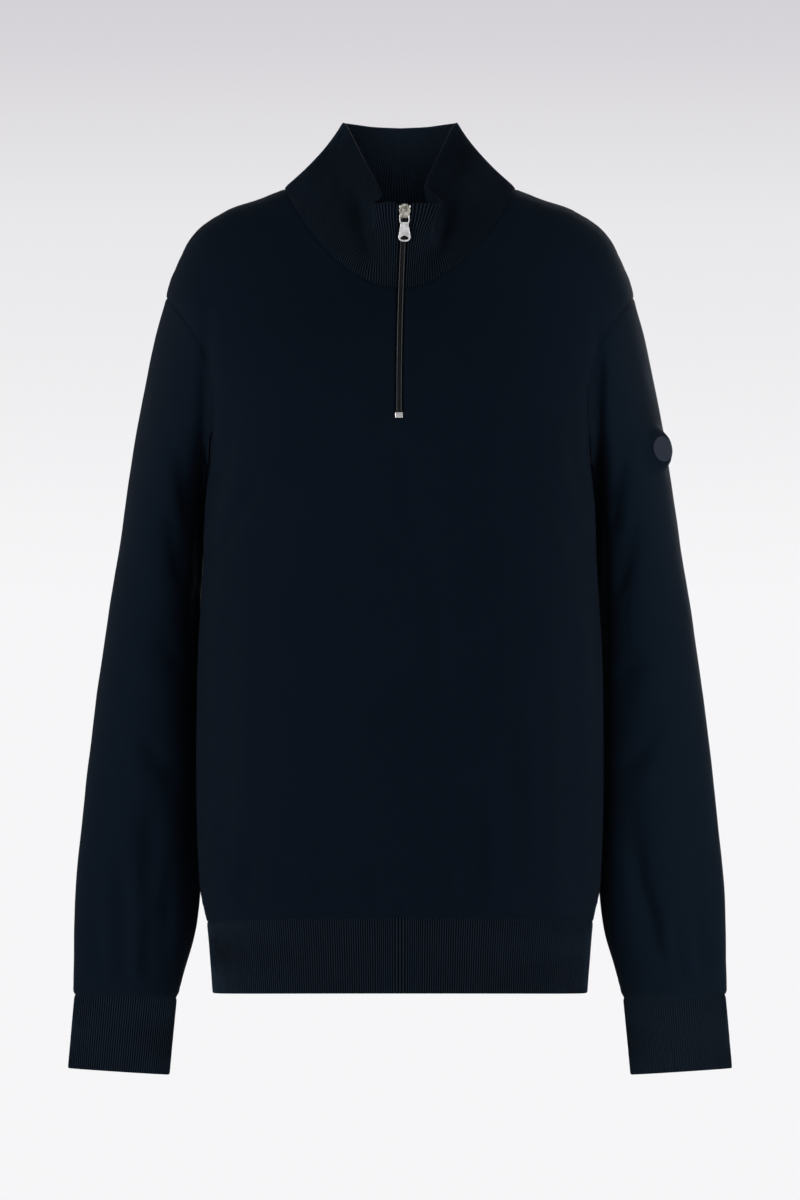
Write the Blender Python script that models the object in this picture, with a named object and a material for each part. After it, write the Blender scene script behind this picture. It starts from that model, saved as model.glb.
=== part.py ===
"""A quarter-zip sweater in fine knit, filled out as when worn, with no wearer.

Frame: metres, +Z up. The front faces -Y and the wearer's left is +X. The origin is the middle
of the neck base, level with the points where the shoulder seams meet the collar.
"""
import bisect
import functools
import math
from collections import namedtuple

import bmesh
import bpy
from mathutils import Vector
from mathutils.geometry import tessellate_polygon

# ---------------------------------------------------------------- driving dimensions
SEAM_GAP = 0.0003        # air left at every seam
CLOTH = 0.0018           # wall of the plain knit
COLLAR_PROUD = 0.0008    # the collar's outer face stands this far outside the body line
RIB_WALL = 0.0022        # wall of the hem and cuff bands between their ribs
RIB_PITCH = 0.0021       # one rib and one furrow of the 1 x 1 rib
RIB_HEIGHT = 0.0006

ZIP_END_Z = -0.2034      # middle of the bottom stop
ZIP_TOP_Z = -0.0148      # top edge of the collar at the zip
ZIP_END_X = -0.0009
ZIP_LEAN = 0.0054        # how far the zip line wanders towards the wearer's left at the top
SLIT = 0.0040            # half the gap between the knit edges along the zip
SLIT_TOP = 0.0057        # the same beside the slider
TAPE_INNER = 0.0012
TAPE_OUTER = 0.0145
TAPE_FACE = -0.00225     # depths below the body line
TAPE_BACK = -0.0030
COIL_FACE = -0.0003
COIL_BACK = -0.0019
COIL_HALF = 0.0029
STOP_SIZE = (0.0070, 0.0027, 0.0050)
TOP_STOP_SIZE = (0.0014, 0.0016, 0.0022)

SLIDER_Z = -0.0203       # middle of the slider's plates
SLIDER_LENGTH = 0.0125
SLIDER_HALF = 0.0050
SLIDER_NOSE = 0.0027
PLATE = 0.0011
FRONT_PLATE_BACK = 0.0002
BACK_PLATE_FACE = -0.0034
POST_HALF = 0.0007
BRIDGE_HALF = 0.0021
BRIDGE_RISE = 0.0024
BRIDGE_BAR = 0.0010

TAB_THICK = 0.0012
TAB_DROP = 0.0245        # hinge axis to the tab's lower end
TAB_EYE_HALF = 0.0046
TAB_EYE_HOLE = 0.0064
TAB_RIM = 0.0009
TAB_NECK_HALF = 0.0037
TAB_FOOT_HALF = 0.0055
MOON_HALF = 0.0040        # the hole near its foot: half width, middle, and its two arcs
MOON_MIDDLE = -0.0213
MOON_RISE = 0.0024
MOON_DIP = 0.0017
TAB_AXIS_DEPTH = 0.00225  # hinge axis, in front of the body line
TAB_AXIS_Z = -0.0232

BADGE_CENTRE = (0.2358, -0.2331)  # x, z
BADGE_RADIUS = 0.0115
BADGE_THICK = 0.0015
BADGE_TURN = math.radians(44)     # its face, from straight ahead towards the wearer's left
BADGE_TIP = math.radians(8)       # and tipped up, as the sleeve hangs
BADGE_REACH = (0.0125, 0.026)     # the sleeve is flat inside the first, untouched past the second

NECK_LEVEL = 0.808
HEM_LEVEL = 0.067
DROP_POWER = 1.85        # how a tilted ring's height falls from its sides to its middle
ARMHOLE_Z = -0.1720
ARMHOLE_TALL = 0.0755    # half heights and half widths of the armhole, seen from the side
ARMHOLE_Y = 0.006
ARMHOLE_FRONT = 0.078
ARMHOLE_BACK = 0.068
ARMHOLE_ROWS = 9
ARMHOLE_EASE = 0.115     # the sleeve forgets the armhole's bend over this length
UNDERARM_EASE = 0.0017
LOBE_POWER = 2.2         # the collar's front folds die away downwards
COLLAR_BOW = 0.0048      # its sides are hollow by this much, halfway up
FOLD_REACH = 0.084       # along the collar from the zip, as far as it is folded
FOLD_STEP = 4            # half ribs to a column of its inner face there, and elsewhere
PLAIN_STEP = 18

MIDDLE_COLUMNS = 7       # of each quarter of the body, from its middle to the turn of the side
SIDE_COLUMNS = 4         # and from there to the armhole or the seam
SIDE_TURN = math.radians(43)
FRONT_COLUMNS = MIDDLE_COLUMNS + SIDE_COLUMNS
BAND_INNER_STEP = 0.018
COLLAR_ROWS = (0.0, 0.36, 0.7, 1.0)
BODY_LEVELS = (0.080, 0.100, 0.135, 0.185, 0.245, 0.320, 0.400)
YOKE_LEVELS = (0.665, 0.700, 0.740, 0.775)
SLEEVE_ROWS = (0.018, 0.040, 0.066, 0.092, 0.117, 0.131, 0.144, 0.158, 0.185, 0.250,
               0.370, 0.530, 0.575, 0.605, 0.630)

# Rings of the body, from the hem's edge to the neck line. level counts roughly the way up.
Ring = namedtuple("Ring", "side_z front_z back_z half_width side_y front_y back_y squareness")
BODY = (
    # level side_z   front_z  back_z   half_w  side_y  front_y  back_y  squareness
    (0.000, -0.7227, -0.7215, -0.7215, 0.1680, 0.000, -0.1100, 0.1120, 2.50),
    (0.035, -0.6900, -0.6880, -0.6880, 0.1705, 0.000, -0.1115, 0.1135, 2.50),
    (0.067, -0.6580, -0.6535, -0.6550, 0.1735, 0.000, -0.1150, 0.1170, 2.50),
    (0.090, -0.6350, -0.6310, -0.6320, 0.1788, 0.000, -0.1195, 0.1205, 2.50),
    (0.125, -0.6000, -0.5970, -0.5975, 0.1815, 0.000, -0.1225, 0.1210, 2.50),
    (0.180, -0.5450, -0.5430, -0.5430, 0.1830, 0.000, -0.1250, 0.1190, 2.50),
    (0.240, -0.4850, -0.4840, -0.4840, 0.1830, 0.000, -0.1270, 0.1140, 2.50),
    (0.310, -0.4150, -0.4150, -0.4150, 0.1815, -0.004, -0.1290, 0.1100, 2.50),
    (0.380, -0.3450, -0.3450, -0.3450, 0.1772, -0.008, -0.1310, 0.1120, 2.50),
    (0.440, -0.2850, -0.2860, -0.2850, 0.1752, -0.014, -0.1325, 0.1165, 2.55),
    (0.478, -0.2475, -0.2480, -0.2470, 0.1735, -0.010, -0.1330, 0.1195, 2.60),
    (0.520, -0.2050, -0.2100, -0.2030, 0.1850, 0.003, -0.1320, 0.1215, 2.45),
    (0.560, -0.1650, -0.1750, -0.1550, 0.1950, 0.004, -0.1285, 0.1185, 2.40),
    (0.600, -0.1300, -0.1480, -0.1180, 0.2040, 0.005, -0.1225, 0.1130, 2.25),
    (0.632, -0.0960, -0.1280, -0.0850, 0.2100, 0.005, -0.1150, 0.1040, 2.10),
    (0.665, -0.0640, -0.1130, -0.0620, 0.1990, 0.004, -0.1065, 0.0940, 2.05),
    (0.700, -0.0380, -0.1020, -0.0430, 0.1840, 0.003, -0.0990, 0.0820, 2.00),
    (0.740, -0.0185, -0.0950, -0.0300, 0.1560, 0.002, -0.0935, 0.0710, 2.00),
    (0.775, -0.0090, -0.0915, -0.0210, 0.1290, 0.001, -0.0905, 0.0620, 2.00),
    (0.808, 0.0010, -0.0890, -0.0140, 0.1035, 0.000, -0.0880, 0.0560, 2.00),
)

# Rings of the wearer's left sleeve, from the armhole to the cuff seam. The right is its mirror.
Tube = namedtuple("Tube", "outer_x outer_z inner_x inner_z middle_y half_depth")
SLEEVE = (
    # along outer_x outer_z  inner_x inner_z  mid_y  half_depth
    (0.000, 0.2100, -0.0965, 0.1700, -0.2475, 0.006, 0.0780),
    (0.040, 0.2205, -0.1340, 0.1722, -0.2600, 0.018, 0.0735),
    (0.090, 0.2308, -0.1820, 0.1735, -0.2830, 0.030, 0.0690),
    (0.150, 0.2412, -0.2400, 0.1755, -0.3180, 0.036, 0.0640),
    (0.225, 0.2518, -0.3130, 0.1778, -0.3650, 0.038, 0.0580),
    (0.305, 0.2646, -0.3930, 0.1795, -0.4250, 0.039, 0.0520),
    (0.385, 0.2756, -0.4720, 0.1803, -0.4890, 0.040, 0.0460),
    (0.460, 0.2842, -0.5460, 0.1803, -0.5540, 0.040, 0.0400),
    (0.530, 0.2912, -0.6150, 0.1792, -0.6180, 0.040, 0.0345),
    (0.575, 0.2937, -0.6600, 0.1832, -0.6625, 0.040, 0.0310),
    (0.610, 0.2941, -0.6960, 0.1930, -0.6985, 0.040, 0.0275),
    (0.638, 0.2940, -0.7240, 0.2008, -0.7267, 0.040, 0.0250),
)
CUFF = (
    (0.000, 0.2930, -0.7243, 0.2016, -0.7270, 0.040, 0.0242),
    (0.067, 0.2990, -0.7911, 0.2083, -0.7970, 0.040, 0.0225),
)

# The collar's upper edge. turn is the angle, in degrees, from the zip round to the back of the
# neck; the sides are alike but for the fold that each one has beside the zip.
TOP_LINE = (
    # turn  x       y        z
    (0, 0.0000, -0.0950, -0.0148),
    (6, 0.0105, -0.0930, -0.0140),
    (12, 0.0180, -0.0880, -0.0115),
    (18, 0.0215, -0.0800, -0.0070),
    (25, 0.0225, -0.0690, 0.0010),
    (34, 0.0262, -0.0540, 0.0130),
    (45, 0.0335, -0.0370, 0.0290),
    (58, 0.0408, -0.0195, 0.0440),
    (73, 0.0465, -0.0030, 0.0555),
    (88, 0.0500, 0.0110, 0.0603),
    (105, 0.0490, 0.0240, 0.0606),
    (125, 0.0400, 0.0365, 0.0596),
    (150, 0.0235, 0.0460, 0.0576),
    (180, 0.0000, 0.0500, 0.0566),
)
FOLD_LEFT = (
    (0, 0.0000, -0.0950, -0.0148),
    (3, 0.0120, -0.0945, -0.0135),
    (6, 0.0230, -0.0930, -0.0134),
    (10, 0.0345, -0.0900, -0.0140),
    (13, 0.0372, -0.0850, -0.0120),
    (17, 0.0335, -0.0785, -0.0070),
    (21, 0.0275, -0.0735, -0.0023),
    (25, 0.0225, -0.0690, 0.0010),
)
FOLD_RIGHT = (
    (0, 0.0000, -0.0950, -0.0148),
    (3, 0.0085, -0.0940, -0.0122),
    (6, 0.0165, -0.0925, -0.0132),
    (10, 0.0235, -0.0895, -0.0137),
    (13, 0.0245, -0.0850, -0.0124),
    (17, 0.0195, -0.0790, -0.0090),
    (21, 0.0175, -0.0730, -0.0040),
    (25, 0.0200, -0.0675, 0.0010),
)

# Soft folds as straight lines seen from the front or the back; depth is inwards.
Fold = namedtuple("Fold", "low_x low_z high_x high_z half_width depth")
FRONT_FOLDS = (
    Fold(0.0810, -0.640, 0.0800, -0.530, 0.016, 0.0030),
    Fold(0.1560, -0.640, 0.1470, -0.400, 0.017, 0.0028),
    Fold(-0.1400, -0.645, -0.1330, -0.560, 0.015, 0.0030),
    Fold(0.1780, -0.250, 0.1820, -0.130, 0.014, 0.0035),
    Fold(-0.1780, -0.250, -0.1820, -0.130, 0.014, 0.0035),
)
BACK_FOLDS = (
    Fold(0.0900, -0.640, 0.0820, -0.500, 0.017, 0.0032),
    Fold(-0.1000, -0.640, -0.0880, -0.470, 0.018, 0.0030),
    Fold(0.0100, -0.640, 0.0060, -0.560, 0.016, 0.0024),
)

Paint = namedtuple("Paint", "red green blue roughness metallic")
KNIT = Paint(0.0030, 0.0058, 0.0110, 0.92, 0.0)
RIB = Paint(0.0026, 0.0050, 0.0095, 0.94, 0.0)
TAPE = Paint(0.0022, 0.0032, 0.0055, 0.80, 0.0)
COIL = Paint(0.0200, 0.0260, 0.0360, 0.45, 0.0)
SILVER = Paint(0.6200, 0.6200, 0.6100, 0.30, 1.0)
BADGE_CLOTH = Paint(0.0170, 0.0260, 0.0420, 0.85, 0.0)


# ---------------------------------------------------------------- small helpers
def clear_scene():
    for item in list(bpy.data.objects):
        bpy.data.objects.remove(item, do_unlink=True)


def clamped(value):
    return min(max(value, 0.0), 1.0)


def smoothstep(value):
    value = clamped(value)
    return value * value * (3 - 2 * value)


def smooth_row(table, at):
    """The table's row at a first-column value, by a cubic through the neighbouring rows."""
    keys = [row[0] for row in table]
    low = min(max(bisect.bisect_right(keys, at) - 1, 0), len(keys) - 2)
    span = keys[low + 1] - keys[low]
    f = (at - keys[low]) / span

    def slope(row, column):
        before = max(row - 1, 0)
        after = min(row + 1, len(keys) - 1)
        rise = table[after][column] - table[before][column]
        return span * rise / (keys[after] - keys[before])

    values = []
    for column in range(1, len(table[0])):
        start = table[low][column]
        end = table[low + 1][column]
        leave = slope(low, column)
        arrive = slope(low + 1, column)
        values.append(start * (1 + 2 * f) * (1 - f) ** 2 + leave * f * (1 - f) ** 2
                      + end * f * f * (3 - 2 * f) - arrive * f * f * (1 - f))
    return values


def bisection(low, high, is_low, steps=36):
    for _ in range(steps):
        middle = (low + high) / 2
        if is_low(middle):
            low = middle
        else:
            high = middle
    return (low + high) / 2


def signed_power(value, power):
    return math.copysign(abs(value) ** power, value)


def zip_x(z):
    up = clamped((z - ZIP_END_Z) / (ZIP_TOP_Z - ZIP_END_Z))
    return ZIP_END_X + ZIP_LEAN * up ** 2.2


def slit_half(z):
    """Half the gap between the knit edges, a little wider beside the slider."""
    return SLIT + (SLIT_TOP - SLIT) * smoothstep((z + 0.042) / 0.016)


# ---------------------------------------------------------------- the body's form
@functools.lru_cache(maxsize=None)
def body_ring(level):
    return Ring(*smooth_row(BODY, level))


def body_form(angle, level):
    """Point of the body at an angle seen from above: 0 the wearer's left, -pi/2 the front."""
    ring = body_ring(level)
    across = math.cos(angle)
    ahead = math.sin(angle)
    power = 2 / ring.squareness
    far_y, far_z = (ring.front_y, ring.front_z) if ahead < 0 else (ring.back_y, ring.back_z)
    return Vector((ring.half_width * signed_power(across, power),
                   ring.side_y + (far_y - ring.side_y) * abs(ahead) ** power,
                   ring.side_z + (far_z - ring.side_z) * abs(ahead) ** DROP_POWER))


def fold_depth(folds, x, z):
    """How far the folds sink the cloth at a place seen from the front."""
    total = 0.0
    for fold in folds:
        run = Vector((fold.high_x - fold.low_x, fold.high_z - fold.low_z))
        place = Vector((x - fold.low_x, z - fold.low_z))
        along = place.dot(run) / run.length_squared
        aside = abs(place.x * run.y - place.y * run.x) / run.length
        ends = smoothstep(along / 0.25 + 0.6) * smoothstep((1 - along) / 0.45)
        total += fold.depth * ends * math.exp(-(aside / fold.half_width) ** 2)
    return total


def body_point(angle, level):
    """Point of the body's outer face, with its folds."""
    place = body_form(angle, level)
    folds = FRONT_FOLDS if math.sin(angle) < 0 else BACK_FOLDS
    depth = fold_depth(folds, place.x, place.z)
    inwards = Vector((-math.cos(angle), -math.sin(angle), 0))
    return place + inwards * depth


def level_where(side_z):
    """Level of the ring whose sides stand at a height."""
    return bisection(0.0, NECK_LEVEL, lambda level: body_ring(level).side_z < side_z)


def level_where_front(front_z):
    return bisection(0.0, NECK_LEVEL, lambda level: body_ring(level).front_z < front_z)


def front_angle(x, level):
    """Angle of the front point of a ring that lies a given way across."""
    ring = body_ring(level)
    across = signed_power(x / ring.half_width, ring.squareness / 2)
    return -math.acos(max(-1.0, min(1.0, across)))


def armhole_angle(level, ahead):
    """Angle at which a ring meets the armhole; ahead is -1 in front and 1 behind."""
    reach = ARMHOLE_FRONT if ahead < 0 else ARMHOLE_BACK

    def inside(angle):
        place = body_form(ahead * angle, level)
        return math.hypot((place.y - ARMHOLE_Y) / reach,
                          (place.z - ARMHOLE_Z) / ARMHOLE_TALL) < 1

    return ahead * bisection(0.0, math.radians(80), inside)


def spaced_angles(start, end, level, count):
    """Angles that split a stretch of a ring into equal lengths of cloth."""
    samples = 48
    angles = [start + (end - start) * i / samples for i in range(samples + 1)]
    points = [body_form(angle, level) for angle in angles]
    lengths = [0.0]
    for before, after in zip(points, points[1:]):
        lengths.append(lengths[-1] + (after - before).length)
    spaced = [start]
    for i in range(1, count):
        wanted = lengths[-1] * i / count
        after = bisect.bisect_left(lengths, wanted)
        share = (wanted - lengths[after - 1]) / (lengths[after] - lengths[after - 1])
        spaced.append(angles[after - 1] + share * (angles[after] - angles[after - 1]))
    return spaced + [end]


def quarter_angles(middle, side, level):
    """Angles of a quarter ring's columns; those near the middle stand over each other."""
    turn = math.copysign(SIDE_TURN, middle)
    return (spaced_angles(middle, turn, level, MIDDLE_COLUMNS)
            + spaced_angles(turn, side, level, SIDE_COLUMNS)[1:])


UNDERARM_LEVEL = level_where(ARMHOLE_Z - ARMHOLE_TALL)
SHOULDER_LEVEL = level_where(ARMHOLE_Z + ARMHOLE_TALL)
SLIT_END_Z = ZIP_END_Z - STOP_SIZE[2] / 2 - SEAM_GAP


def armhole_levels():
    """Levels that cross the armhole in even steps round its edge, one at the zip's end."""
    steps = [level_where(ARMHOLE_Z - ARMHOLE_TALL * math.cos(math.pi * row / ARMHOLE_ROWS))
             for row in range(1, ARMHOLE_ROWS)]
    slit_end = level_where_front(SLIT_END_Z)
    nearest = min(range(len(steps)), key=lambda row: abs(steps[row] - slit_end))
    steps[nearest] = slit_end
    return steps


ARMHOLE_LEVELS = armhole_levels()
PANEL_LEVELS = ([HEM_LEVEL + SEAM_GAP, *BODY_LEVELS, UNDERARM_LEVEL, *ARMHOLE_LEVELS,
                 SHOULDER_LEVEL, *YOKE_LEVELS, NECK_LEVEL - SEAM_GAP])


def side_angle(level, ahead):
    """Where a panel ends at its side: the armhole, or the side and shoulder seams."""
    if UNDERARM_LEVEL < level < SHOULDER_LEVEL and level in ARMHOLE_LEVELS:
        return armhole_angle(level, ahead)
    return 0.0


# ---------------------------------------------------------------- walls
def grid_normals(grid, wrap=False, sign=1):
    """Normals of a grid: outward, if its columns run anticlockwise from above and rows up."""
    rows = len(grid)
    columns = len(grid[0])
    normals = []
    for r in range(rows):
        line = []
        for c in range(columns):
            left = (c - 1) % columns if wrap else max(c - 1, 0)
            right = (c + 1) % columns if wrap else min(c + 1, columns - 1)
            across = grid[r][right] - grid[r][left]
            up = grid[min(r + 1, rows - 1)][c] - grid[max(r - 1, 0)][c]
            line.append(across.cross(up).normalized() * sign)
        normals.append(line)
    return normals


def square_to_seams(normals, levels):
    """At the side and shoulder seams a wall is cut straight across, so neighbours don't meet."""
    for line, level in zip(normals, levels):
        if level not in ARMHOLE_LEVELS:
            for end in (0, -1):
                line[end] = Vector((line[end].x, 0, line[end].z)).normalized()
    return normals


def moved(grid, normals, distance):
    return [[place + normal * distance for place, normal in zip(line, line_normals)]
            for line, line_normals in zip(grid, normals)]


def add_object(name, vertices, faces, paint):
    mesh = bpy.data.meshes.new(name)
    shape = bmesh.new()
    made = [shape.verts.new(place) for place in vertices]
    for face in faces:
        shape.faces.new([made[i] for i in face])
    bmesh.ops.triangulate(shape, faces=shape.faces[:])
    bmesh.ops.recalc_face_normals(shape, faces=shape.faces[:])
    if shape.calc_volume(signed=True) < 0:
        bmesh.ops.reverse_faces(shape, faces=shape.faces[:])
    shape.to_mesh(mesh)
    shape.free()
    mesh.shade_smooth()
    mesh.set_sharp_from_angle(angle=math.radians(40))
    thing = bpy.data.objects.new(name, mesh)
    bpy.context.collection.objects.link(thing)
    material = bpy.data.materials.new(name)
    material.use_nodes = True
    shader = material.node_tree.nodes["Principled BSDF"]
    shader.inputs["Base Color"].default_value = (paint.red, paint.green, paint.blue, 1.0)
    shader.inputs["Roughness"].default_value = paint.roughness
    shader.inputs["Metallic"].default_value = paint.metallic
    mesh.materials.append(material)
    return thing


def wall(name, outer, inner, paint, wrap=False, holes=()):
    """A closed wall between two grids alike, without the cells named in holes."""
    rows = len(outer)
    columns = len(outer[0])
    vertices = [place for line in outer for place in line]
    back = len(vertices)
    vertices += [place for line in inner for place in line]
    cells = []
    for r in range(rows - 1):
        for c in range(columns if wrap else columns - 1):
            if (r, c) not in holes:
                d = (c + 1) % columns
                cells.append((r * columns + c, r * columns + d,
                              (r + 1) * columns + d, (r + 1) * columns + c))
    edges = {(cell[i], cell[(i + 1) % 4]) for cell in cells for i in range(4)}
    faces = list(cells)
    faces += [tuple(i + back for i in reversed(cell)) for cell in cells]
    faces += [(b, a, a + back, b + back) for a, b in edges if (b, a) not in edges]
    used = sorted({i for face in faces for i in face})
    place_of = {old: new for new, old in enumerate(used)}
    return add_object(name, [vertices[i] for i in used],
                      [tuple(place_of[i] for i in face) for face in faces], paint)


def stitched_rim(first, first_at, second, second_at):
    """Triangles between two lines of vertices with unequal spacing, given where each lies."""
    triangles = []
    i = j = 0
    while i < len(first) - 1 or j < len(second) - 1:
        step_first = j == len(second) - 1 or (
            i < len(first) - 1 and first_at[i + 1] <= second_at[j + 1])
        if step_first:
            triangles.append((first[i], first[i + 1], second[j]))
            i += 1
        else:
            triangles.append((first[i], second[j + 1], second[j]))
            j += 1
    return triangles


def ribbed_wall(name, outer, outer_at, inner, inner_at, paint, wrap=False):
    """A wall with many columns outside and few inside. Every row runs from 0 to 1 in *_at.

    Odd columns outside are ribs and even ones furrows; a rim is the ribs' tips and the rest.
    """
    rows = len(outer)
    many = len(outer[0])
    few = len(inner[0])
    vertices = [place for line in outer for place in line]
    back = len(vertices)
    vertices += [place for line in inner for place in line]
    outer_row = [[r * many + c for c in range(many)] for r in range(rows)]
    inner_row = [[back + r * few + c for c in range(few)] for r in range(rows)]
    if wrap:
        outer_row = [line + line[:1] for line in outer_row]
        inner_row = [line + line[:1] for line in inner_row]
    faces = []
    for r in range(rows - 1):
        for c in range(len(outer_row[0]) - 1):
            faces.append((outer_row[r][c], outer_row[r][c + 1],
                          outer_row[r + 1][c + 1], outer_row[r + 1][c]))
        for c in range(len(inner_row[0]) - 1):
            faces.append((inner_row[r][c], inner_row[r + 1][c],
                          inner_row[r + 1][c + 1], inner_row[r][c + 1]))
    for r in (0, rows - 1):
        line = outer_row[r]
        faces += [(line[c - 1], line[c], line[c + 1]) for c in range(1, len(line), 2)]
        faces += stitched_rim(line[::2], outer_at[::2], inner_row[r], inner_at)
    if not wrap:
        for c in (0, -1):
            for r in range(rows - 1):
                faces.append((outer_row[r][c], outer_row[r + 1][c],
                              inner_row[r + 1][c], inner_row[r][c]))
    return add_object(name, vertices, faces, paint)


def nudged(line, towards, distance):
    """A row of points moved a little towards the row beside it."""
    return [place + (other - place).normalized() * distance
            for place, other in zip(line, towards)]


# ---------------------------------------------------------------- body panels
def front_grid():
    grid = []
    for level in PANEL_LEVELS:
        middle_z = body_ring(level).front_z
        side = side_angle(level, -1)
        row = []
        for hand in (-1, 1):
            edge_x = hand * zip_x(middle_z) + slit_half(middle_z)
            angles = quarter_angles(front_angle(edge_x, level), side, level)
            half = [body_point(angle if hand > 0 else -math.pi - angle, level)
                    for angle in angles]
            row += half if hand > 0 else half[::-1]
        for end in (0, -1):
            row[end] = row[end] + Vector((0, -SEAM_GAP / 2, 0))
        grid.append(row)
    return grid


def back_grid():
    grid = []
    for level in PANEL_LEVELS:
        angles = quarter_angles(math.pi / 2, side_angle(level, 1), level)
        row = [body_point(angle, level) for angle in angles[::-1]]
        row += [body_point(math.pi - angle, level) for angle in angles[1:]]
        for end in (0, -1):
            row[end] = row[end] + Vector((0, SEAM_GAP / 2, 0))
        grid.append(row)
    return grid


@functools.lru_cache(maxsize=None)
def panel_shapes():
    """Grids and normals of the front and of the back."""
    front = front_grid()
    back = back_grid()
    return (front, square_to_seams(grid_normals(front), PANEL_LEVELS),
            back, square_to_seams(grid_normals(back), PANEL_LEVELS))


def make_panels():
    front, front_normals, back, back_normals = panel_shapes()
    holes = {(r, FRONT_COLUMNS) for r, level in enumerate(PANEL_LEVELS)
             if body_ring(level).front_z > SLIT_END_Z - SEAM_GAP / 2}
    wall("front", front, moved(front, front_normals, -CLOTH), KNIT, holes=holes)
    wall("back", back, moved(back, back_normals, -CLOTH), KNIT)


# ---------------------------------------------------------------- ribbed bands
def rib_lift(index):
    return RIB_HEIGHT if index % 2 else 0.0


def band_half(name, start, end):
    """Front or back half of the hem's ribbed band, from one side seam to the other."""
    levels = (0.0, HEM_LEVEL - SEAM_GAP)
    trim = SEAM_GAP / 2 / 0.11
    start += trim
    end -= trim
    middle = spaced_angles(start, end, HEM_LEVEL / 2, 64)
    length = sum((body_form(b, HEM_LEVEL / 2) - body_form(a, HEM_LEVEL / 2)).length
                 for a, b in zip(middle, middle[1:]))
    ribs = round(length / RIB_PITCH)
    outer_count = 2 * ribs
    inner_count = round(length / BAND_INNER_STEP)
    outer = []
    inner = []
    for level in levels:
        fine = [body_form(a, level) for a in spaced_angles(start, end, level, outer_count)]
        normals = square_to_seams(grid_normals([fine, raised(fine)]), (level, level))[0]
        outer.append([p + n * rib_lift(i) for i, (p, n) in enumerate(zip(fine, normals))])
        plain = [body_form(a, level) for a in spaced_angles(start, end, level, inner_count)]
        normals = square_to_seams(grid_normals([plain, raised(plain)]), (level, level))[0]
        inner.append([place - n * RIB_WALL for place, n in zip(plain, normals)])
    ribbed_wall(name, outer, [i / outer_count for i in range(outer_count + 1)],
                inner, [i / inner_count for i in range(inner_count + 1)], RIB)


def raised(line):
    return [place + Vector((0, 0, 0.01)) for place in line]


def make_hem():
    band_half("hem_rib_front", -math.pi, 0.0)
    band_half("hem_rib_back", 0.0, math.pi)


# ---------------------------------------------------------------- sleeves and cuffs
def tube_point(table, turn, along):
    """Point of a sleeve ring: turn 0 is under the arm, pi/2 in front, pi on top."""
    ring = Tube(*smooth_row(table, along))
    low = Vector((ring.inner_x, ring.middle_y, ring.inner_z))
    high = Vector((ring.outer_x, ring.middle_y, ring.outer_z))
    return ((low + high) / 2 - (high - low) / 2 * math.cos(turn)
            + Vector((0, -ring.half_depth * math.sin(turn), 0)))


def armhole_edge():
    """Turns, points and normals round the armhole: up its front, then down its back."""
    levels = [UNDERARM_LEVEL, *ARMHOLE_LEVELS, SHOULDER_LEVEL]
    _, front_normals, _, back_normals = panel_shapes()
    edge = []
    for ahead, half in ((-1, levels[:-1]), (1, levels[:0:-1])):
        for level in half:
            place = body_point(side_angle(level, ahead), level)
            height = (body_ring(level).side_z - ARMHOLE_Z) / ARMHOLE_TALL
            turn = math.acos(max(-1.0, min(1.0, -height)))
            row = PANEL_LEVELS.index(level)
            normal = front_normals[row][-1] if ahead < 0 else back_normals[row][0]
            edge.append((turn if ahead < 0 else 2 * math.pi - turn, place, normal))
    return edge


def badge_frame():
    """Centre and facing of the badge; its plane just clears the sleeve it flattens."""
    facing = Vector((math.sin(BADGE_TURN) * math.cos(BADGE_TIP),
                     -math.cos(BADGE_TURN) * math.cos(BADGE_TIP), math.sin(BADGE_TIP)))
    reach = max(tube_point(SLEEVE, math.radians(turn), along / 100).dot(facing)
                for turn in range(90, 180, 3) for along in range(10, 20))
    x, z = BADGE_CENTRE
    y = (reach - x * facing.x - z * facing.z) / facing.y
    return Vector((x, y, z)), facing


BADGE_PLACE, BADGE_FACING = badge_frame()


def flattened(place):
    """The sleeve is drawn up to the badge's flat back and eases off around it."""
    from_badge = place - BADGE_PLACE
    depth = -from_badge.dot(BADGE_FACING)
    aside = (from_badge + BADGE_FACING * depth).length
    near, far = BADGE_REACH
    share = 1 - smoothstep((aside - near) / (far - near))
    share *= 1 - smoothstep((depth - 0.012) / 0.018)
    return place + BADGE_FACING * depth * share


def underarm_share(along):
    """Under the arm the sleeve stands off the body, most of all just past the seam."""
    return smoothstep(along / 0.012) * (1 - smoothstep((along - 0.012) / 0.06))


def sleeve_grid(with_badge):
    edge = armhole_edge()
    rows = []
    for along in (0.0, *SLEEVE_ROWS, SLEEVE[-1][0] - SEAM_GAP):
        fade = clamped(1 - along / ARMHOLE_EASE) ** 2
        row = []
        for turn, place, _ in edge:
            bend = place - tube_point(SLEEVE, turn, 0.0)
            point = tube_point(SLEEVE, turn, along) + bend * fade
            point.x += UNDERARM_EASE * clamped(math.cos(turn)) * underarm_share(along)
            row.append(flattened(point) if with_badge and along > 0 else point)
        rows.append(row)
    rows[0] = nudged(rows[0], rows[1], SEAM_GAP * 1.4)
    for (turn, _, _), place in zip(edge, rows[0]):
        place.x += SEAM_GAP * clamped(math.cos(turn))
    return rows


def mirrored(grid):
    return [[Vector((-place.x, place.y, place.z)) for place in line] for line in grid]


def sleeve_wall(name, grid, hand):
    """Rows run down the sleeve, columns from under the arm to the front and over the top."""
    normals = grid_normals(grid, wrap=True, sign=-1)
    for column, (_, _, edge) in enumerate(armhole_edge()):
        own = normals[0][column]
        alike = smoothstep((own.dot(edge) - 0.3) / 0.5)
        normals[0][column] = own.lerp(edge, alike).normalized()
    inner = moved(grid, normals, -CLOTH)
    if hand < 0:
        grid = mirrored(grid)
        inner = mirrored(inner)
    wall(name, grid, inner, KNIT, wrap=True)


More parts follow.
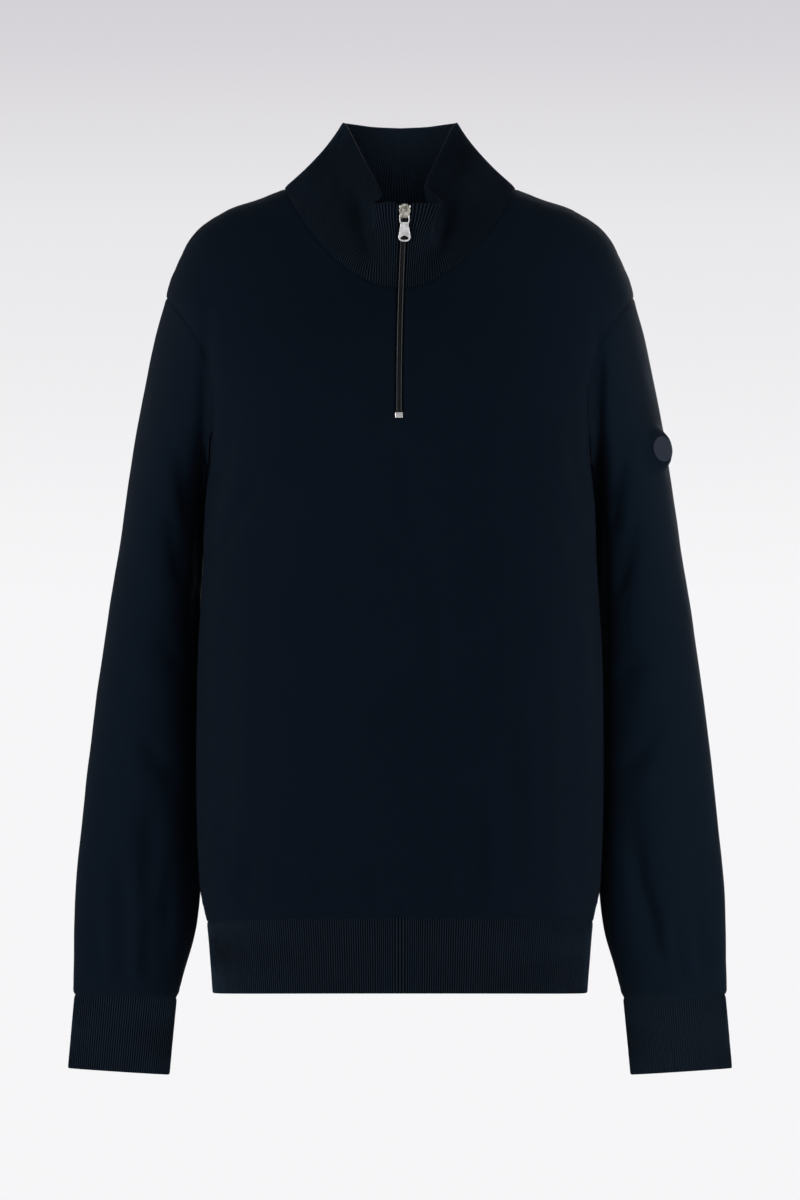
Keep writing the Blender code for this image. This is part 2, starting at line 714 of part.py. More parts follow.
def cuff_grids():
    samples = 90
    middle = [tube_point(CUFF, 2 * math.pi * i / samples, 0.03) for i in range(samples)]
    length = sum((middle[i] - middle[i - 1]).length for i in range(samples))
    ribs = round(length / RIB_PITCH)
    few = round(length / BAND_INNER_STEP * 1.3)
    outer = []
    inner = []
    for along in (SEAM_GAP, CUFF[-1][0]):
        plain = even_ring(along, 2 * ribs)
        below = even_ring(along + 0.01, 2 * ribs)
        normals = grid_normals([plain, below], wrap=True, sign=-1)[0]
        outer.append([p + n * rib_lift(i) for i, (p, n) in enumerate(zip(plain, normals))])
        sparse = even_ring(along, few)
        under = even_ring(along + 0.01, few)
        normals = grid_normals([sparse, under], wrap=True, sign=-1)[0]
        inner.append([p - n * RIB_WALL for p, n in zip(sparse, normals)])
    return outer, inner


def even_ring(along, count):
    """A cuff ring cut into equal lengths."""
    fine = 720
    points = [tube_point(CUFF, 2 * math.pi * i / fine, along) for i in range(fine + 1)]
    lengths = [0.0]
    for before, after in zip(points, points[1:]):
        lengths.append(lengths[-1] + (after - before).length)
    ring = []
    for i in range(count):
        wanted = lengths[-1] * i / count
        after = max(1, bisect.bisect_left(lengths, wanted))
        share = (wanted - lengths[after - 1]) / (lengths[after] - lengths[after - 1])
        ring.append(points[after - 1].lerp(points[after], share))
    return ring


def make_sleeves():
    for side, hand in (("left", 1), ("right", -1)):
        sleeve_wall(f"sleeve_{side}", sleeve_grid(hand > 0), hand)
        outer, inner = cuff_grids()
        if hand < 0:
            outer = mirrored(outer)
            inner = mirrored(inner)
        outer_at = [i / len(outer[0]) for i in range(len(outer[0]) + 1)]
        inner_at = [i / len(inner[0]) for i in range(len(inner[0]) + 1)]
        ribbed_wall(f"cuff_{side}", outer, outer_at, inner, inner_at, RIB, wrap=True)


def make_badge():
    """A round patch with a low bevelled edge, flat on the sleeve."""
    sides = 32
    rings = ((BADGE_RADIUS, SEAM_GAP * 1.5), (BADGE_RADIUS, BADGE_THICK * 0.8),
             (BADGE_RADIUS - 0.0006, BADGE_THICK + SEAM_GAP))
    across = Vector((0, 0, 1)).cross(BADGE_FACING).normalized()
    upward = BADGE_FACING.cross(across)
    vertices = []
    for radius, height in rings:
        for i in range(sides):
            turn = 2 * math.pi * i / sides
            vertices.append(BADGE_PLACE + BADGE_FACING * height
                            + (across * math.cos(turn) + upward * math.sin(turn)) * radius)
    faces = [tuple(reversed(range(sides))), tuple(range(2 * sides, 3 * sides))]
    for ring in range(2):
        for i in range(sides):
            j = (i + 1) % sides
            low = ring * sides
            faces.append((low + i, low + j, low + sides + j, low + sides + i))
    add_object("sleeve_badge", vertices, faces, BADGE_CLOTH)


# ---------------------------------------------------------------- collar
def collar_point(turn, up):
    """turn runs from 0 at the zip to 180 at the back, negative on the wearer's right."""
    hand = -1 if turn < 0 else 1
    base = body_form(math.radians(turn - 90), NECK_LEVEL)
    line = Vector(smooth_row(TOP_LINE, abs(turn)))
    fold = FOLD_LEFT if hand > 0 else FOLD_RIGHT
    last = fold[-1][0]
    if abs(turn) < last:
        bend = Vector(smooth_row(fold, abs(turn))) - line
    else:
        bend = Vector(fold[-1][1:]) - Vector(smooth_row(TOP_LINE, last))
        bend *= 1 - smoothstep((abs(turn) - last) / 20)
    line.x *= hand
    bend.x *= hand
    place = base + (line - base) * up + bend * up ** LOBE_POWER
    place.x -= hand * COLLAR_BOW * math.sin(math.radians(turn)) ** 2 * 4 * up * (1 - up)
    return place


def collar_turn(up, offset):
    """Turn at which a collar row lies a set way off the zip's line."""
    def short(turn):
        place = collar_point(turn, up)
        return place.x - zip_x(place.z) < offset
    return bisection(-14.0, 14.0, short)


def collar_edge_turn(hand, up):
    """Turn of the collar's edge on one side of the zip."""
    return collar_turn(up, hand * slit_half(collar_point(0.0, up).z))


def collar_turns(count):
    """Turns from 0 to 1 that split the collar's middle row evenly, and that row's length."""
    middle = COLLAR_ROWS[-1] / 2
    start, end = collar_ends(middle)
    fine = 720
    points = [collar_place(start + (end - start) * i / fine, middle) for i in range(fine + 1)]
    lengths = [0.0]
    for before, after in zip(points, points[1:]):
        lengths.append(lengths[-1] + (after - before).length)
    shares = []
    for i in range(count + 1):
        wanted = lengths[-1] * i / count
        after = min(max(1, bisect.bisect_left(lengths, wanted)), fine)
        part = (wanted - lengths[after - 1]) / (lengths[after] - lengths[after - 1])
        shares.append((after - 1 + part) / fine)
    return shares, lengths[-1]


def collar_ends(up):
    """Turns of the collar's two edges, from the wearer's left round the back to the right."""
    return collar_edge_turn(1, up), 360 + collar_edge_turn(-1, up)


def collar_place(turn, up):
    return collar_point(turn if turn <= 180 else turn - 360, up)


def collar_row(up, shares):
    start, end = collar_ends(up)
    return [collar_place(start + (end - start) * share, up) for share in shares]


def make_collar():
    """A ribbed band. Its inner face has few columns, but more where it is folded by the zip."""
    _, length = collar_turns(8)
    many = 2 * round(length / RIB_PITCH)
    shares, _ = collar_turns(many)
    folded = 2 * round(FOLD_REACH / RIB_PITCH)
    picks = [*range(0, folded, FOLD_STEP), *range(folded, many - folded, PLAIN_STEP),
             *range(many - folded, many, FOLD_STEP), many]
    outer = [collar_row(up, shares) for up in COLLAR_ROWS]
    inner = [[line[c] for c in picks] for line in outer]
    smooth_normals = grid_normals(inner)
    for line, normals in zip(outer, smooth_normals):
        for c, place in enumerate(line):
            after = max(1, bisect.bisect_left(picks, c))
            share = (c - picks[after - 1]) / (picks[after] - picks[after - 1])
            normal = normals[after - 1].lerp(normals[after], share).normalized()
            line[c] = place + normal * (COLLAR_PROUD + rib_lift(c))
    inner = moved(inner, smooth_normals, -CLOTH)
    outer[0] = nudged(outer[0], outer[1], SEAM_GAP * 2)
    inner[0] = nudged(inner[0], inner[1], SEAM_GAP * 2)
    ribbed_wall("collar", outer, [c / many for c in range(many + 1)],
                inner, [c / many for c in picks], RIB)


# ---------------------------------------------------------------- zip
def zip_stations():
    """Rows of the zip from below its end to the collar's top, each a function of x offset."""
    stations = []
    body_levels = [level_where_front(SLIT_END_Z - 0.006)]
    body_levels += [level for level in PANEL_LEVELS[1:-1]
                    if body_ring(level).front_z > SLIT_END_Z - SEAM_GAP]
    for level in body_levels:
        stations.append(functools.partial(body_station, level))
    for up in (0.0, 0.18, 0.36, 0.53, 0.7, 0.85, 1.0):
        stations.append(functools.partial(collar_station, up))
    return stations


def body_station(level, offset):
    return body_form(front_angle(zip_x(body_ring(level).front_z) + offset, level), level)


def collar_station(up, offset):
    return collar_point(collar_turn(up, offset), up)


def zip_strip(name, offsets, face, back, low_z, high_z, paint):
    """A strip that follows the zip between two heights and two depths."""
    rows = [[station(offset) for offset in offsets] for station in zip_stations()]
    middles = [row[0].lerp(row[-1], 0.5) for row in rows]
    trimmed = []
    for wanted in (low_z, high_z):
        for i in range(len(rows) - 1):
            if middles[i].z <= wanted <= middles[i + 1].z:
                share = (wanted - middles[i].z) / (middles[i + 1].z - middles[i].z)
                trimmed.append([a.lerp(b, share) for a, b in zip(rows[i], rows[i + 1])])
    kept = [row for row, middle in zip(rows, middles)
            if low_z + 0.003 < middle.z < high_z - 0.003]
    grid = [trimmed[0], *kept, trimmed[-1]]
    normals = grid_normals(grid)
    wall(name, moved(grid, normals, face), moved(grid, normals, back), paint)


def zip_frame(z):
    """Axes on the body line at a height of the zip: across, up along it and outwards."""
    points = [station(0.0) for station in zip_stations()]
    for low, high in zip(points, points[1:]):
        if low.z <= z <= high.z:
            place = low.lerp(high, (z - low.z) / (high.z - low.z))
            upward = (high - low).normalized()
            break
    across = Vector((1, 0, 0))
    outward = across.cross(upward).normalized()
    upward = outward.cross(across)
    place.x = zip_x(z)
    return place, across, upward, outward


def prism(profile, half):
    """Vertices and faces of a closed outline, thickened both ways by half along its depth."""
    count = len(profile)
    vertices = [(x, z, depth) for depth in half for x, z in profile]
    faces = [tuple(range(count)), tuple(reversed(range(count, 2 * count)))]
    for i in range(count):
        j = (i + 1) % count
        faces.append((i, i + count, j + count, j))
    return vertices, faces


def placed(vertices, frame):
    """Local across, up and outward values turned into the sweater's frame."""
    place, across, upward, outward = frame
    return [place + across * x + upward * z + outward * depth for x, z, depth in vertices]


def make_block(name, size, z, offset, depth, paint):
    width, thick, tall = size
    outline = [(offset - width / 2, -tall / 2), (offset + width / 2, -tall / 2),
               (offset + width / 2, tall / 2), (offset - width / 2, tall / 2)]
    vertices, faces = prism(outline, (depth, depth + thick))
    return add_object(name, placed(vertices, zip_frame(z)), faces, paint)


def slider_outline():
    """The slider's plate: a narrow nose, shoulders at its middle, a narrower foot."""
    half = SLIDER_LENGTH / 2
    right = [(SLIDER_NOSE * 0.85, half), (SLIDER_NOSE, half - 0.0004),
             (SLIDER_NOSE * 1.2, half - 0.0014), (SLIDER_HALF, half * 0.22),
             (SLIDER_HALF, -half * 0.08), (SLIDER_HALF * 0.76, -half * 0.62),
             (SLIDER_HALF * 0.68, -half + 0.0003), (SLIDER_HALF * 0.58, -half)]
    return right[::-1] + [(-x, z) for x, z in right]


def make_slider():
    """Two plates, the post that joins them between the tapes, and the bridge for the tab."""
    half = SLIDER_LENGTH / 2
    front_face = FRONT_PLATE_BACK + PLATE
    parts = [prism(slider_outline(), (FRONT_PLATE_BACK, front_face)),
             prism(slider_outline(), (BACK_PLATE_FACE - PLATE, BACK_PLATE_FACE))]
    post = [(-POST_HALF, half - 0.0030), (POST_HALF, half - 0.0030),
            (POST_HALF, half - 0.0006), (-POST_HALF, half - 0.0006)]
    parts.append(prism(post, (BACK_PLATE_FACE - PLATE / 2, FRONT_PLATE_BACK + PLATE / 2)))
    parts.append(bridge_shape(front_face))
    pieces = []
    frame = zip_frame(SLIDER_Z)
    for number, (vertices, faces) in enumerate(parts):
        pieces.append(add_object(f"slider_piece_{number}", placed(vertices, frame),
                                 faces, SILVER))
    join_by_union(pieces, "zip_slider")


def bridge_shape(front_face):
    """An arch over the front plate, open at both sides, as a bent bar."""
    half = SLIDER_LENGTH / 2
    top = half - 0.0005
    foot = -half
    steps = 10
    outer = []
    inner = []
    for i in range(steps + 1):
        turn = math.pi * i / steps
        middle = (top + foot) / 2
        reach = (top - foot) / 2
        rise = abs(math.sin(turn)) ** 0.25
        outer.append((middle + reach * math.cos(turn),
                      front_face - PLATE / 2 + (BRIDGE_RISE + BRIDGE_BAR + PLATE / 2) * rise))
        inner.append((middle + (reach - BRIDGE_BAR) * math.cos(turn),
                      front_face - PLATE / 2 + (BRIDGE_RISE + PLATE / 2) * rise))
    outline = outer + inner[::-1]
    count = len(outline)
    vertices = [(x, z, depth) for x in (-BRIDGE_HALF, BRIDGE_HALF) for z, depth in outline]
    faces = []
    for i in range(count):
        j = (i + 1) % count
        faces.append((i, j, j + count, i + count))
    for i in range(steps):
        near = (i, i + 1, count - 2 - i, count - 1 - i)
        faces.append(tuple(reversed(near)))
        faces.append(tuple(index + count for index in near))
    return vertices, faces


def join_by_union(pieces, name):
    body = pieces[0]
    for other in pieces[1:]:
        union = body.modifiers.new("union", "BOOLEAN")
        union.operation = "UNION"
        union.solver = "EXACT"
        union.object = other
    bpy.context.view_layer.update()
    evaluated = body.evaluated_get(bpy.context.evaluated_depsgraph_get())
    mesh = bpy.data.meshes.new_from_object(evaluated)
    body.modifiers.clear()
    body.data = mesh
    for other in pieces[1:]:
        bpy.data.objects.remove(other, do_unlink=True)
    body.name = name
    mesh.name = name
    return body


def tab_axis():
    place, _, _, outward = zip_frame(TAB_AXIS_Z)
    return place + outward * TAB_AXIS_DEPTH


def make_pull_tab():
    """A flat tab with an eye under its hinge bar and a lens-shaped hole near its foot."""
    top = TAB_THICK / 2
    eye_low = top - TAB_THICK - TAB_EYE_HOLE
    outline = [(TAB_EYE_HALF - 0.0012, top), (TAB_EYE_HALF, top - 0.0010),
               (TAB_EYE_HALF, eye_low + 0.0013), (TAB_EYE_HALF - 0.0005, eye_low - 0.0004),
               (TAB_NECK_HALF, eye_low - 0.0014), (TAB_NECK_HALF, eye_low - 0.0020),
               (TAB_FOOT_HALF, -TAB_DROP + 0.0041)]
    for step in range(1, 6):
        turn = math.pi / 2 * step / 5
        outline.append((TAB_FOOT_HALF - 0.0040 * (1 - math.cos(turn)),
                        -TAB_DROP + 0.0040 * (1 - math.sin(turn)) + 0.0001))
    outline = outline[::-1] + [(-x, z) for x, z in outline]
    eye_half = TAB_EYE_HALF - TAB_RIM
    eye = [(-eye_half, top - TAB_THICK), (-eye_half, eye_low + 0.0010),
           (-eye_half + 0.0010, eye_low), (eye_half - 0.0010, eye_low),
           (eye_half, eye_low + 0.0010), (eye_half, top - TAB_THICK)]
    moon = [(-MOON_HALF, MOON_MIDDLE), (-MOON_HALF * 0.55, MOON_MIDDLE + MOON_RISE * 0.62),
            (0.0, MOON_MIDDLE + MOON_RISE), (MOON_HALF * 0.55, MOON_MIDDLE + MOON_RISE * 0.62),
            (MOON_HALF, MOON_MIDDLE)]
    for step in range(1, 8):
        turn = math.pi * step / 8
        moon.append((MOON_HALF * math.cos(turn), MOON_MIDDLE - MOON_DIP * math.sin(turn)))
    tab = add_object("zip_pull_tab", *plate_with_holes([outline, eye, moon]), SILVER)
    hinge = bpy.data.objects.new("pull_tab_hinge", None)
    bpy.context.collection.objects.link(hinge)
    hinge.location = tab_axis()
    tab.parent = hinge


def plate_with_holes(loops):
    """The tab in its own frame: x across, z up, thickness along y. Its outline comes first."""
    flat = [[Vector((x, z, 0)) for x, z in loop] for loop in loops]
    count = sum(len(loop) for loop in loops)
    vertices = [Vector((x, depth, z)) for depth in (-TAB_THICK / 2, TAB_THICK / 2)
                for loop in loops for x, z in loop]
    faces = []
    for triangle in tessellate_polygon(flat):
        faces.append(tuple(triangle))
        faces.append(tuple(count + i for i in reversed(triangle)))
    start = 0
    for loop in loops:
        for i in range(len(loop)):
            j = (i + 1) % len(loop)
            faces.append((start + i, start + i + count, start + j + count, start + j))
        start += len(loop)
    return vertices, faces


def make_zip():
    tape_low = SLIT_END_Z - 0.005
    tape_high = ZIP_TOP_Z - 0.0012
    for side, hand in (("left", 1), ("right", -1)):
        offsets = sorted((hand * TAPE_INNER, hand * 0.0075, hand * TAPE_OUTER))
        zip_strip(f"zip_tape_{side}", offsets, TAPE_FACE, TAPE_BACK,
                  tape_low, tape_high, TAPE)
        make_block(f"zip_top_stop_{side}", TOP_STOP_SIZE, ZIP_TOP_Z - 0.0016,
                   hand * 0.0044, COIL_BACK, SILVER)
    coil_low = ZIP_END_Z + STOP_SIZE[2] / 2 + SEAM_GAP
    coil_high = SLIDER_Z + SLIDER_LENGTH / 2 - 0.0034
    zip_strip("zip_coil", (-COIL_HALF, 0.0, COIL_HALF), COIL_FACE, COIL_BACK,
              coil_low, coil_high, COIL)
    make_block("zip_bottom_stop", STOP_SIZE, ZIP_END_Z, 0.0, COIL_BACK, SILVER)
    make_slider()
    make_pull_tab()


def main():
    clear_scene()
    make_panels()
    make_hem()
    make_sleeves()
    make_badge()
    make_collar()
    make_zip()


main()
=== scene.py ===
# %% [markdown]
# # A quarter-zip sweater in fine knit
#
# The sweater is filled out as when worn, with no wearer in it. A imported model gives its
# solids: plain walls for collision and mass. This script dresses them. Each wall gets a finer
# shell on the same form, with ribs, seams, soft creases and a material built from nodes.
#
# The frame is in metres with +Z up. The front faces -Y and the wearer's left is +X. The
# origin is the middle of the neck base, where a wearer's neck holds the sweater up.

# %% Load the frame
import bisect
import functools
import math
from collections import namedtuple

import bmesh
import bpy
import numpy as np
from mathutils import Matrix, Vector


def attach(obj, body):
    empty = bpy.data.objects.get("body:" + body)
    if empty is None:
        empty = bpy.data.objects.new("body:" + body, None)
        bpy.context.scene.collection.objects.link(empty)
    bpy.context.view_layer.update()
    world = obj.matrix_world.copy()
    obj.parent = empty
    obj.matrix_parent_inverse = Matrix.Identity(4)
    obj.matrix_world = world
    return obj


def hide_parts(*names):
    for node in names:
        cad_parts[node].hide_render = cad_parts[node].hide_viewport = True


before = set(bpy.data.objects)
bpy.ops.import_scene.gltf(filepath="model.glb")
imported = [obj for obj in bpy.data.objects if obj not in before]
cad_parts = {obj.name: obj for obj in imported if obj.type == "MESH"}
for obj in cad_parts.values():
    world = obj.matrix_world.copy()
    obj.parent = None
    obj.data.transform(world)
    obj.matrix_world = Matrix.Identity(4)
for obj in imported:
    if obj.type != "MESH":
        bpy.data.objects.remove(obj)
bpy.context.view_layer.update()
print("nodes:", ", ".join(sorted(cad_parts)))

# %% [markdown]
# ## The cut of the garment
#
# A knitwear maker works from a few measurements: chest, length, sleeve, neck drop. Here they
# are rings. Each row of BODY is one ring round the body, from the hem's edge to the neck line,
# and a smooth curve through the rows gives every ring between them. SLEEVE and CUFF are rings
# round the left sleeve, and TOP_LINE is the collar's upper edge with the fold on either side
# of the open zip. These are the same measurements as the solids', so the shells lie on them.

# %% Walls, seams and ribs
SEAM_GAP = 0.0003        # air left at every seam
SHELL_GAP = 0.00006      # the same at the bands, where the knit closes up to its seam
CLOTH = 0.0018           # wall of the plain knit
COLLAR_PROUD = 0.0008    # the collar's outer face stands this far outside the body line
RIB_WALL = 0.0022        # wall of the hem and cuff bands between their ribs
RIB_PITCH = 0.0021       # one rib and one furrow
RIB_HEIGHT = 0.0006
NECK_LEVEL = 0.808
HEM_LEVEL = 0.067
DROP_POWER = 1.85        # how a tilted ring's height falls from its sides to its middle
LOBE_POWER = 2.2         # the collar's front folds die away downwards
COLLAR_BOW = 0.0048      # its sides are hollow by this much, halfway up

ARMHOLE_Z = -0.1720
ARMHOLE_TALL = 0.0755    # half heights and half widths of the armhole, seen from the side
ARMHOLE_Y = 0.006
ARMHOLE_FRONT = 0.078
ARMHOLE_BACK = 0.068
ARMHOLE_EASE = 0.115     # the sleeve forgets the armhole's bend over this length
UNDERARM_EASE = 0.0008   # and stands off the body by this much just past the seam

# %% The zip's measurements
ZIP_END_Z = -0.2034      # middle of the bottom stop
ZIP_TOP_Z = -0.0148      # top edge of the collar at the zip
ZIP_END_X = -0.0009
ZIP_LEAN = 0.0054        # how far the zip line wanders towards the wearer's left at the top
SLIT = 0.0040            # half the gap between the knit edges along the zip
SLIT_TOP = 0.0057        # the same beside the slider
STOP_SIZE = (0.0070, 0.0027, 0.0050)
SLIT_END_Z = ZIP_END_Z - STOP_SIZE[2] / 2 - SEAM_GAP
TAPE_INNER = 0.0012
TAPE_OUTER = 0.0145
TAPE_FACE = -0.00225     # depths below the body line
TAPE_BACK = -0.0030
COIL_HALF = 0.0029
COIL_FACE = -0.0003
COIL_BACK = -0.0019
SLIDER_Z = -0.0203       # middle of the slider's plates
SLIDER_LENGTH = 0.0125

BADGE_CENTRE = (0.2358, -0.2331)  # x, z
BADGE_RADIUS = 0.0115
BADGE_TURN = math.radians(44)     # its face, from straight ahead towards the wearer's left
BADGE_TIP = math.radians(8)       # and tipped up, as the sleeve hangs
BADGE_REACH = (0.0125, 0.026)     # the sleeve is flat inside the first, untouched past the second

# %% Rings of the body
Ring = namedtuple("Ring", "side_z front_z back_z half_width side_y front_y back_y squareness")
BODY = (
    # level side_z   front_z  back_z   half_w  side_y  front_y  back_y  squareness
    (0.000, -0.7227, -0.7215, -0.7215, 0.1680, 0.000, -0.1100, 0.1120, 2.50),
    (0.035, -0.6900, -0.6880, -0.6880, 0.1705, 0.000, -0.1115, 0.1135, 2.50),
    (0.067, -0.6580, -0.6535, -0.6550, 0.1735, 0.000, -0.1150, 0.1170, 2.50),
    (0.090, -0.6350, -0.6310, -0.6320, 0.1788, 0.000, -0.1195, 0.1205, 2.50),
    (0.125, -0.6000, -0.5970, -0.5975, 0.1815, 0.000, -0.1225, 0.1210, 2.50),
    (0.180, -0.5450, -0.5430, -0.5430, 0.1830, 0.000, -0.1250, 0.1190, 2.50),
    (0.240, -0.4850, -0.4840, -0.4840, 0.1830, 0.000, -0.1270, 0.1140, 2.50),
    (0.310, -0.4150, -0.4150, -0.4150, 0.1815, -0.004, -0.1290, 0.1100, 2.50),
    (0.380, -0.3450, -0.3450, -0.3450, 0.1772, -0.008, -0.1310, 0.1120, 2.50),
    (0.440, -0.2850, -0.2860, -0.2850, 0.1752, -0.014, -0.1325, 0.1165, 2.55),
    (0.478, -0.2475, -0.2480, -0.2470, 0.1735, -0.010, -0.1330, 0.1195, 2.60),
    (0.520, -0.2050, -0.2100, -0.2030, 0.1850, 0.003, -0.1320, 0.1215, 2.45),
    (0.560, -0.1650, -0.1750, -0.1550, 0.1950, 0.004, -0.1285, 0.1185, 2.40),
    (0.600, -0.1300, -0.1480, -0.1180, 0.2040, 0.005, -0.1225, 0.1130, 2.25),
    (0.632, -0.0960, -0.1280, -0.0850, 0.2100, 0.005, -0.1150, 0.1040, 2.10),
    (0.665, -0.0640, -0.1130, -0.0620, 0.1990, 0.004, -0.1065, 0.0940, 2.05),
    (0.700, -0.0380, -0.1020, -0.0430, 0.1840, 0.003, -0.0990, 0.0820, 2.00),
    (0.740, -0.0185, -0.0950, -0.0300, 0.1560, 0.002, -0.0935, 0.0710, 2.00),
    (0.775, -0.0090, -0.0915, -0.0210, 0.1290, 0.001, -0.0905, 0.0620, 2.00),
    (0.808, 0.0010, -0.0890, -0.0140, 0.1035, 0.000, -0.0880, 0.0560, 2.00),
)

# %% Rings of the left sleeve and its cuff; the right ones are mirror images
Tube = namedtuple("Tube", "outer_x outer_z inner_x inner_z middle_y half_depth")
SLEEVE = (
    # along outer_x outer_z  inner_x inner_z  mid_y  half_depth
    (0.000, 0.2100, -0.0965, 0.1700, -0.2475, 0.006, 0.0780),
    (0.040, 0.2205, -0.1340, 0.1722, -0.2600, 0.018, 0.0735),
    (0.090, 0.2308, -0.1820, 0.1735, -0.2830, 0.030, 0.0690),
    (0.150, 0.2412, -0.2400, 0.1755, -0.3180, 0.036, 0.0640),
    (0.225, 0.2518, -0.3130, 0.1778, -0.3650, 0.038, 0.0580),
    (0.305, 0.2646, -0.3930, 0.1795, -0.4250, 0.039, 0.0520),
    (0.385, 0.2756, -0.4720, 0.1803, -0.4890, 0.040, 0.0460),
    (0.460, 0.2842, -0.5460, 0.1803, -0.5540, 0.040, 0.0400),
    (0.530, 0.2912, -0.6150, 0.1792, -0.6180, 0.040, 0.0345),
    (0.575, 0.2937, -0.6600, 0.1832, -0.6625, 0.040, 0.0310),
    (0.610, 0.2941, -0.6960, 0.1930, -0.6985, 0.040, 0.0275),
    (0.638, 0.2940, -0.7240, 0.2008, -0.7267, 0.040, 0.0250),
)
CUFF = (
    (0.000, 0.2930, -0.7243, 0.2016, -0.7270, 0.040, 0.0242),
    (0.067, 0.2990, -0.7911, 0.2083, -0.7970, 0.040, 0.0225),
)

# %% The collar's upper edge
# turn is the angle, in degrees, from the zip round to the back of the neck.
TOP_LINE = (
    # turn  x       y        z
    (0, 0.0000, -0.0950, -0.0148),
    (6, 0.0105, -0.0930, -0.0140),
    (12, 0.0180, -0.0880, -0.0115),
    (18, 0.0215, -0.0800, -0.0070),
    (25, 0.0225, -0.0690, 0.0010),
    (34, 0.0262, -0.0540, 0.0130),
    (45, 0.0335, -0.0370, 0.0290),
    (58, 0.0408, -0.0195, 0.0440),
    (73, 0.0465, -0.0030, 0.0555),
    (88, 0.0500, 0.0110, 0.0603),
    (105, 0.0490, 0.0240, 0.0606),
    (125, 0.0400, 0.0365, 0.0596),
    (150, 0.0235, 0.0460, 0.0576),
    (180, 0.0000, 0.0500, 0.0566),
)
FOLD_LEFT = (
    (0, 0.0000, -0.0950, -0.0148),
    (3, 0.0120, -0.0945, -0.0135),
    (6, 0.0230, -0.0930, -0.0134),
    (10, 0.0345, -0.0900, -0.0140),
    (13, 0.0372, -0.0850, -0.0120),
    (17, 0.0335, -0.0785, -0.0070),
    (21, 0.0275, -0.0735, -0.0023),
    (25, 0.0225, -0.0690, 0.0010),
)
FOLD_RIGHT = (
    (0, 0.0000, -0.0950, -0.0148),
    (3, 0.0085, -0.0940, -0.0122),
    (6, 0.0165, -0.0925, -0.0132),
    (10, 0.0235, -0.0895, -0.0137),
    (13, 0.0245, -0.0850, -0.0124),
    (17, 0.0195, -0.0790, -0.0090),
    (21, 0.0175, -0.0730, -0.0040),
    (25, 0.0200, -0.0675, 0.0010),
)

# %% [markdown]
# ## From measurements to a form
#
# A ring is a squarish ellipse whose front and back may sit lower than its sides, as a neckline
# does. One function reads the table at any level with a cubic, and another gives the point of
# the ring at an angle. A formula is used and not a sculpt, so the shell can be as fine as it
# needs to be and still lie on the solid.

# %% Small helpers
def clamped(value):
    return min(max(value, 0.0), 1.0)


def smoothstep(value):
    value = np.clip(value, 0.0, 1.0)
    return value * value * (3 - 2 * value)


def cubic(start, end, leave, arrive, f):
    """From start to end as f goes from 0 to 1, with a slope given at each end."""
    return (start * (1 + 2 * f) * (1 - f) ** 2 + leave * f * (1 - f) ** 2
            + end * f * f * (3 - 2 * f) - arrive * f * f * (1 - f))


def smooth_row(table, at):
    """The table's row at a first-column value, by a cubic through the neighbouring rows."""
    keys = [row[0] for row in table]
    low = min(max(bisect.bisect_right(keys, at) - 1, 0), len(keys) - 2)
    span = keys[low + 1] - keys[low]

    def slope(row, column):
        before = max(row - 1, 0)
        after = min(row + 1, len(keys) - 1)
        rise = table[after][column] - table[before][column]
        return span * rise / (keys[after] - keys[before])

    return [cubic(table[low][column], table[low + 1][column], slope(low, column),
                  slope(low + 1, column), (at - keys[low]) / span)
            for column in range(1, len(table[0]))]


def bisection(low, high, is_low, steps=36):
    for _ in range(steps):
        middle = (low + high) / 2
        if is_low(middle):
            low = middle
        else:
            high = middle
    return (low + high) / 2


def signed_power(value, power):
    return math.copysign(abs(value) ** power, value)


def as_line(places):
    return np.array([tuple(place) for place in places])


def as_grid(rows):
    return np.array([as_line(row) for row in rows])


def unit(vectors):
    return vectors / np.maximum(np.linalg.norm(vectors, axis=-1, keepdims=True), 1e-12)


def lengths_of(line):
    """How far along a line of points each point is."""
    return np.concatenate([[0], np.cumsum(np.linalg.norm(np.diff(line, axis=0), axis=1))])


def read_at(at, keys, rows):
    """Rows of three numbers, read at places between their keys."""
    return np.stack([np.interp(at, keys, rows[:, k]) for k in range(3)], axis=1)


def zip_x(z):
    up = clamped((z - ZIP_END_Z) / (ZIP_TOP_Z - ZIP_END_Z))
    return ZIP_END_X + ZIP_LEAN * up ** 2.2


def slit_half(z):
    """Half the gap between the knit edges, a little wider beside the slider."""
    return SLIT + (SLIT_TOP - SLIT) * smoothstep((z + 0.042) / 0.016)


# %% The body's rings
@functools.lru_cache(maxsize=None)
def body_ring(level):
    return Ring(*smooth_row(BODY, level))


def body_form(angle, level):
    """Point of the body at an angle seen from above: 0 the wearer's left, -pi/2 the front."""
    ring = body_ring(level)
    across = math.cos(angle)
    ahead = math.sin(angle)
    power = 2 / ring.squareness
    far_y, far_z = (ring.front_y, ring.front_z) if ahead < 0 else (ring.back_y, ring.back_z)
    return Vector((ring.half_width * signed_power(across, power),
                   ring.side_y + (far_y - ring.side_y) * abs(ahead) ** power,
                   ring.side_z + (far_z - ring.side_z) * abs(ahead) ** DROP_POWER))


def level_where(side_z):
    """Level of the ring whose sides stand at a height."""
    return bisection(0.0, NECK_LEVEL, lambda level: body_ring(level).side_z < side_z)


def level_where_front(front_z):
    return bisection(0.0, NECK_LEVEL, lambda level: body_ring(level).front_z < front_z)


def front_angle(x, level):
    """Angle of the front point of a ring that lies a given way across."""
    ring = body_ring(level)
    across = signed_power(x / ring.half_width, ring.squareness / 2)
    return -math.acos(max(-1.0, min(1.0, across)))


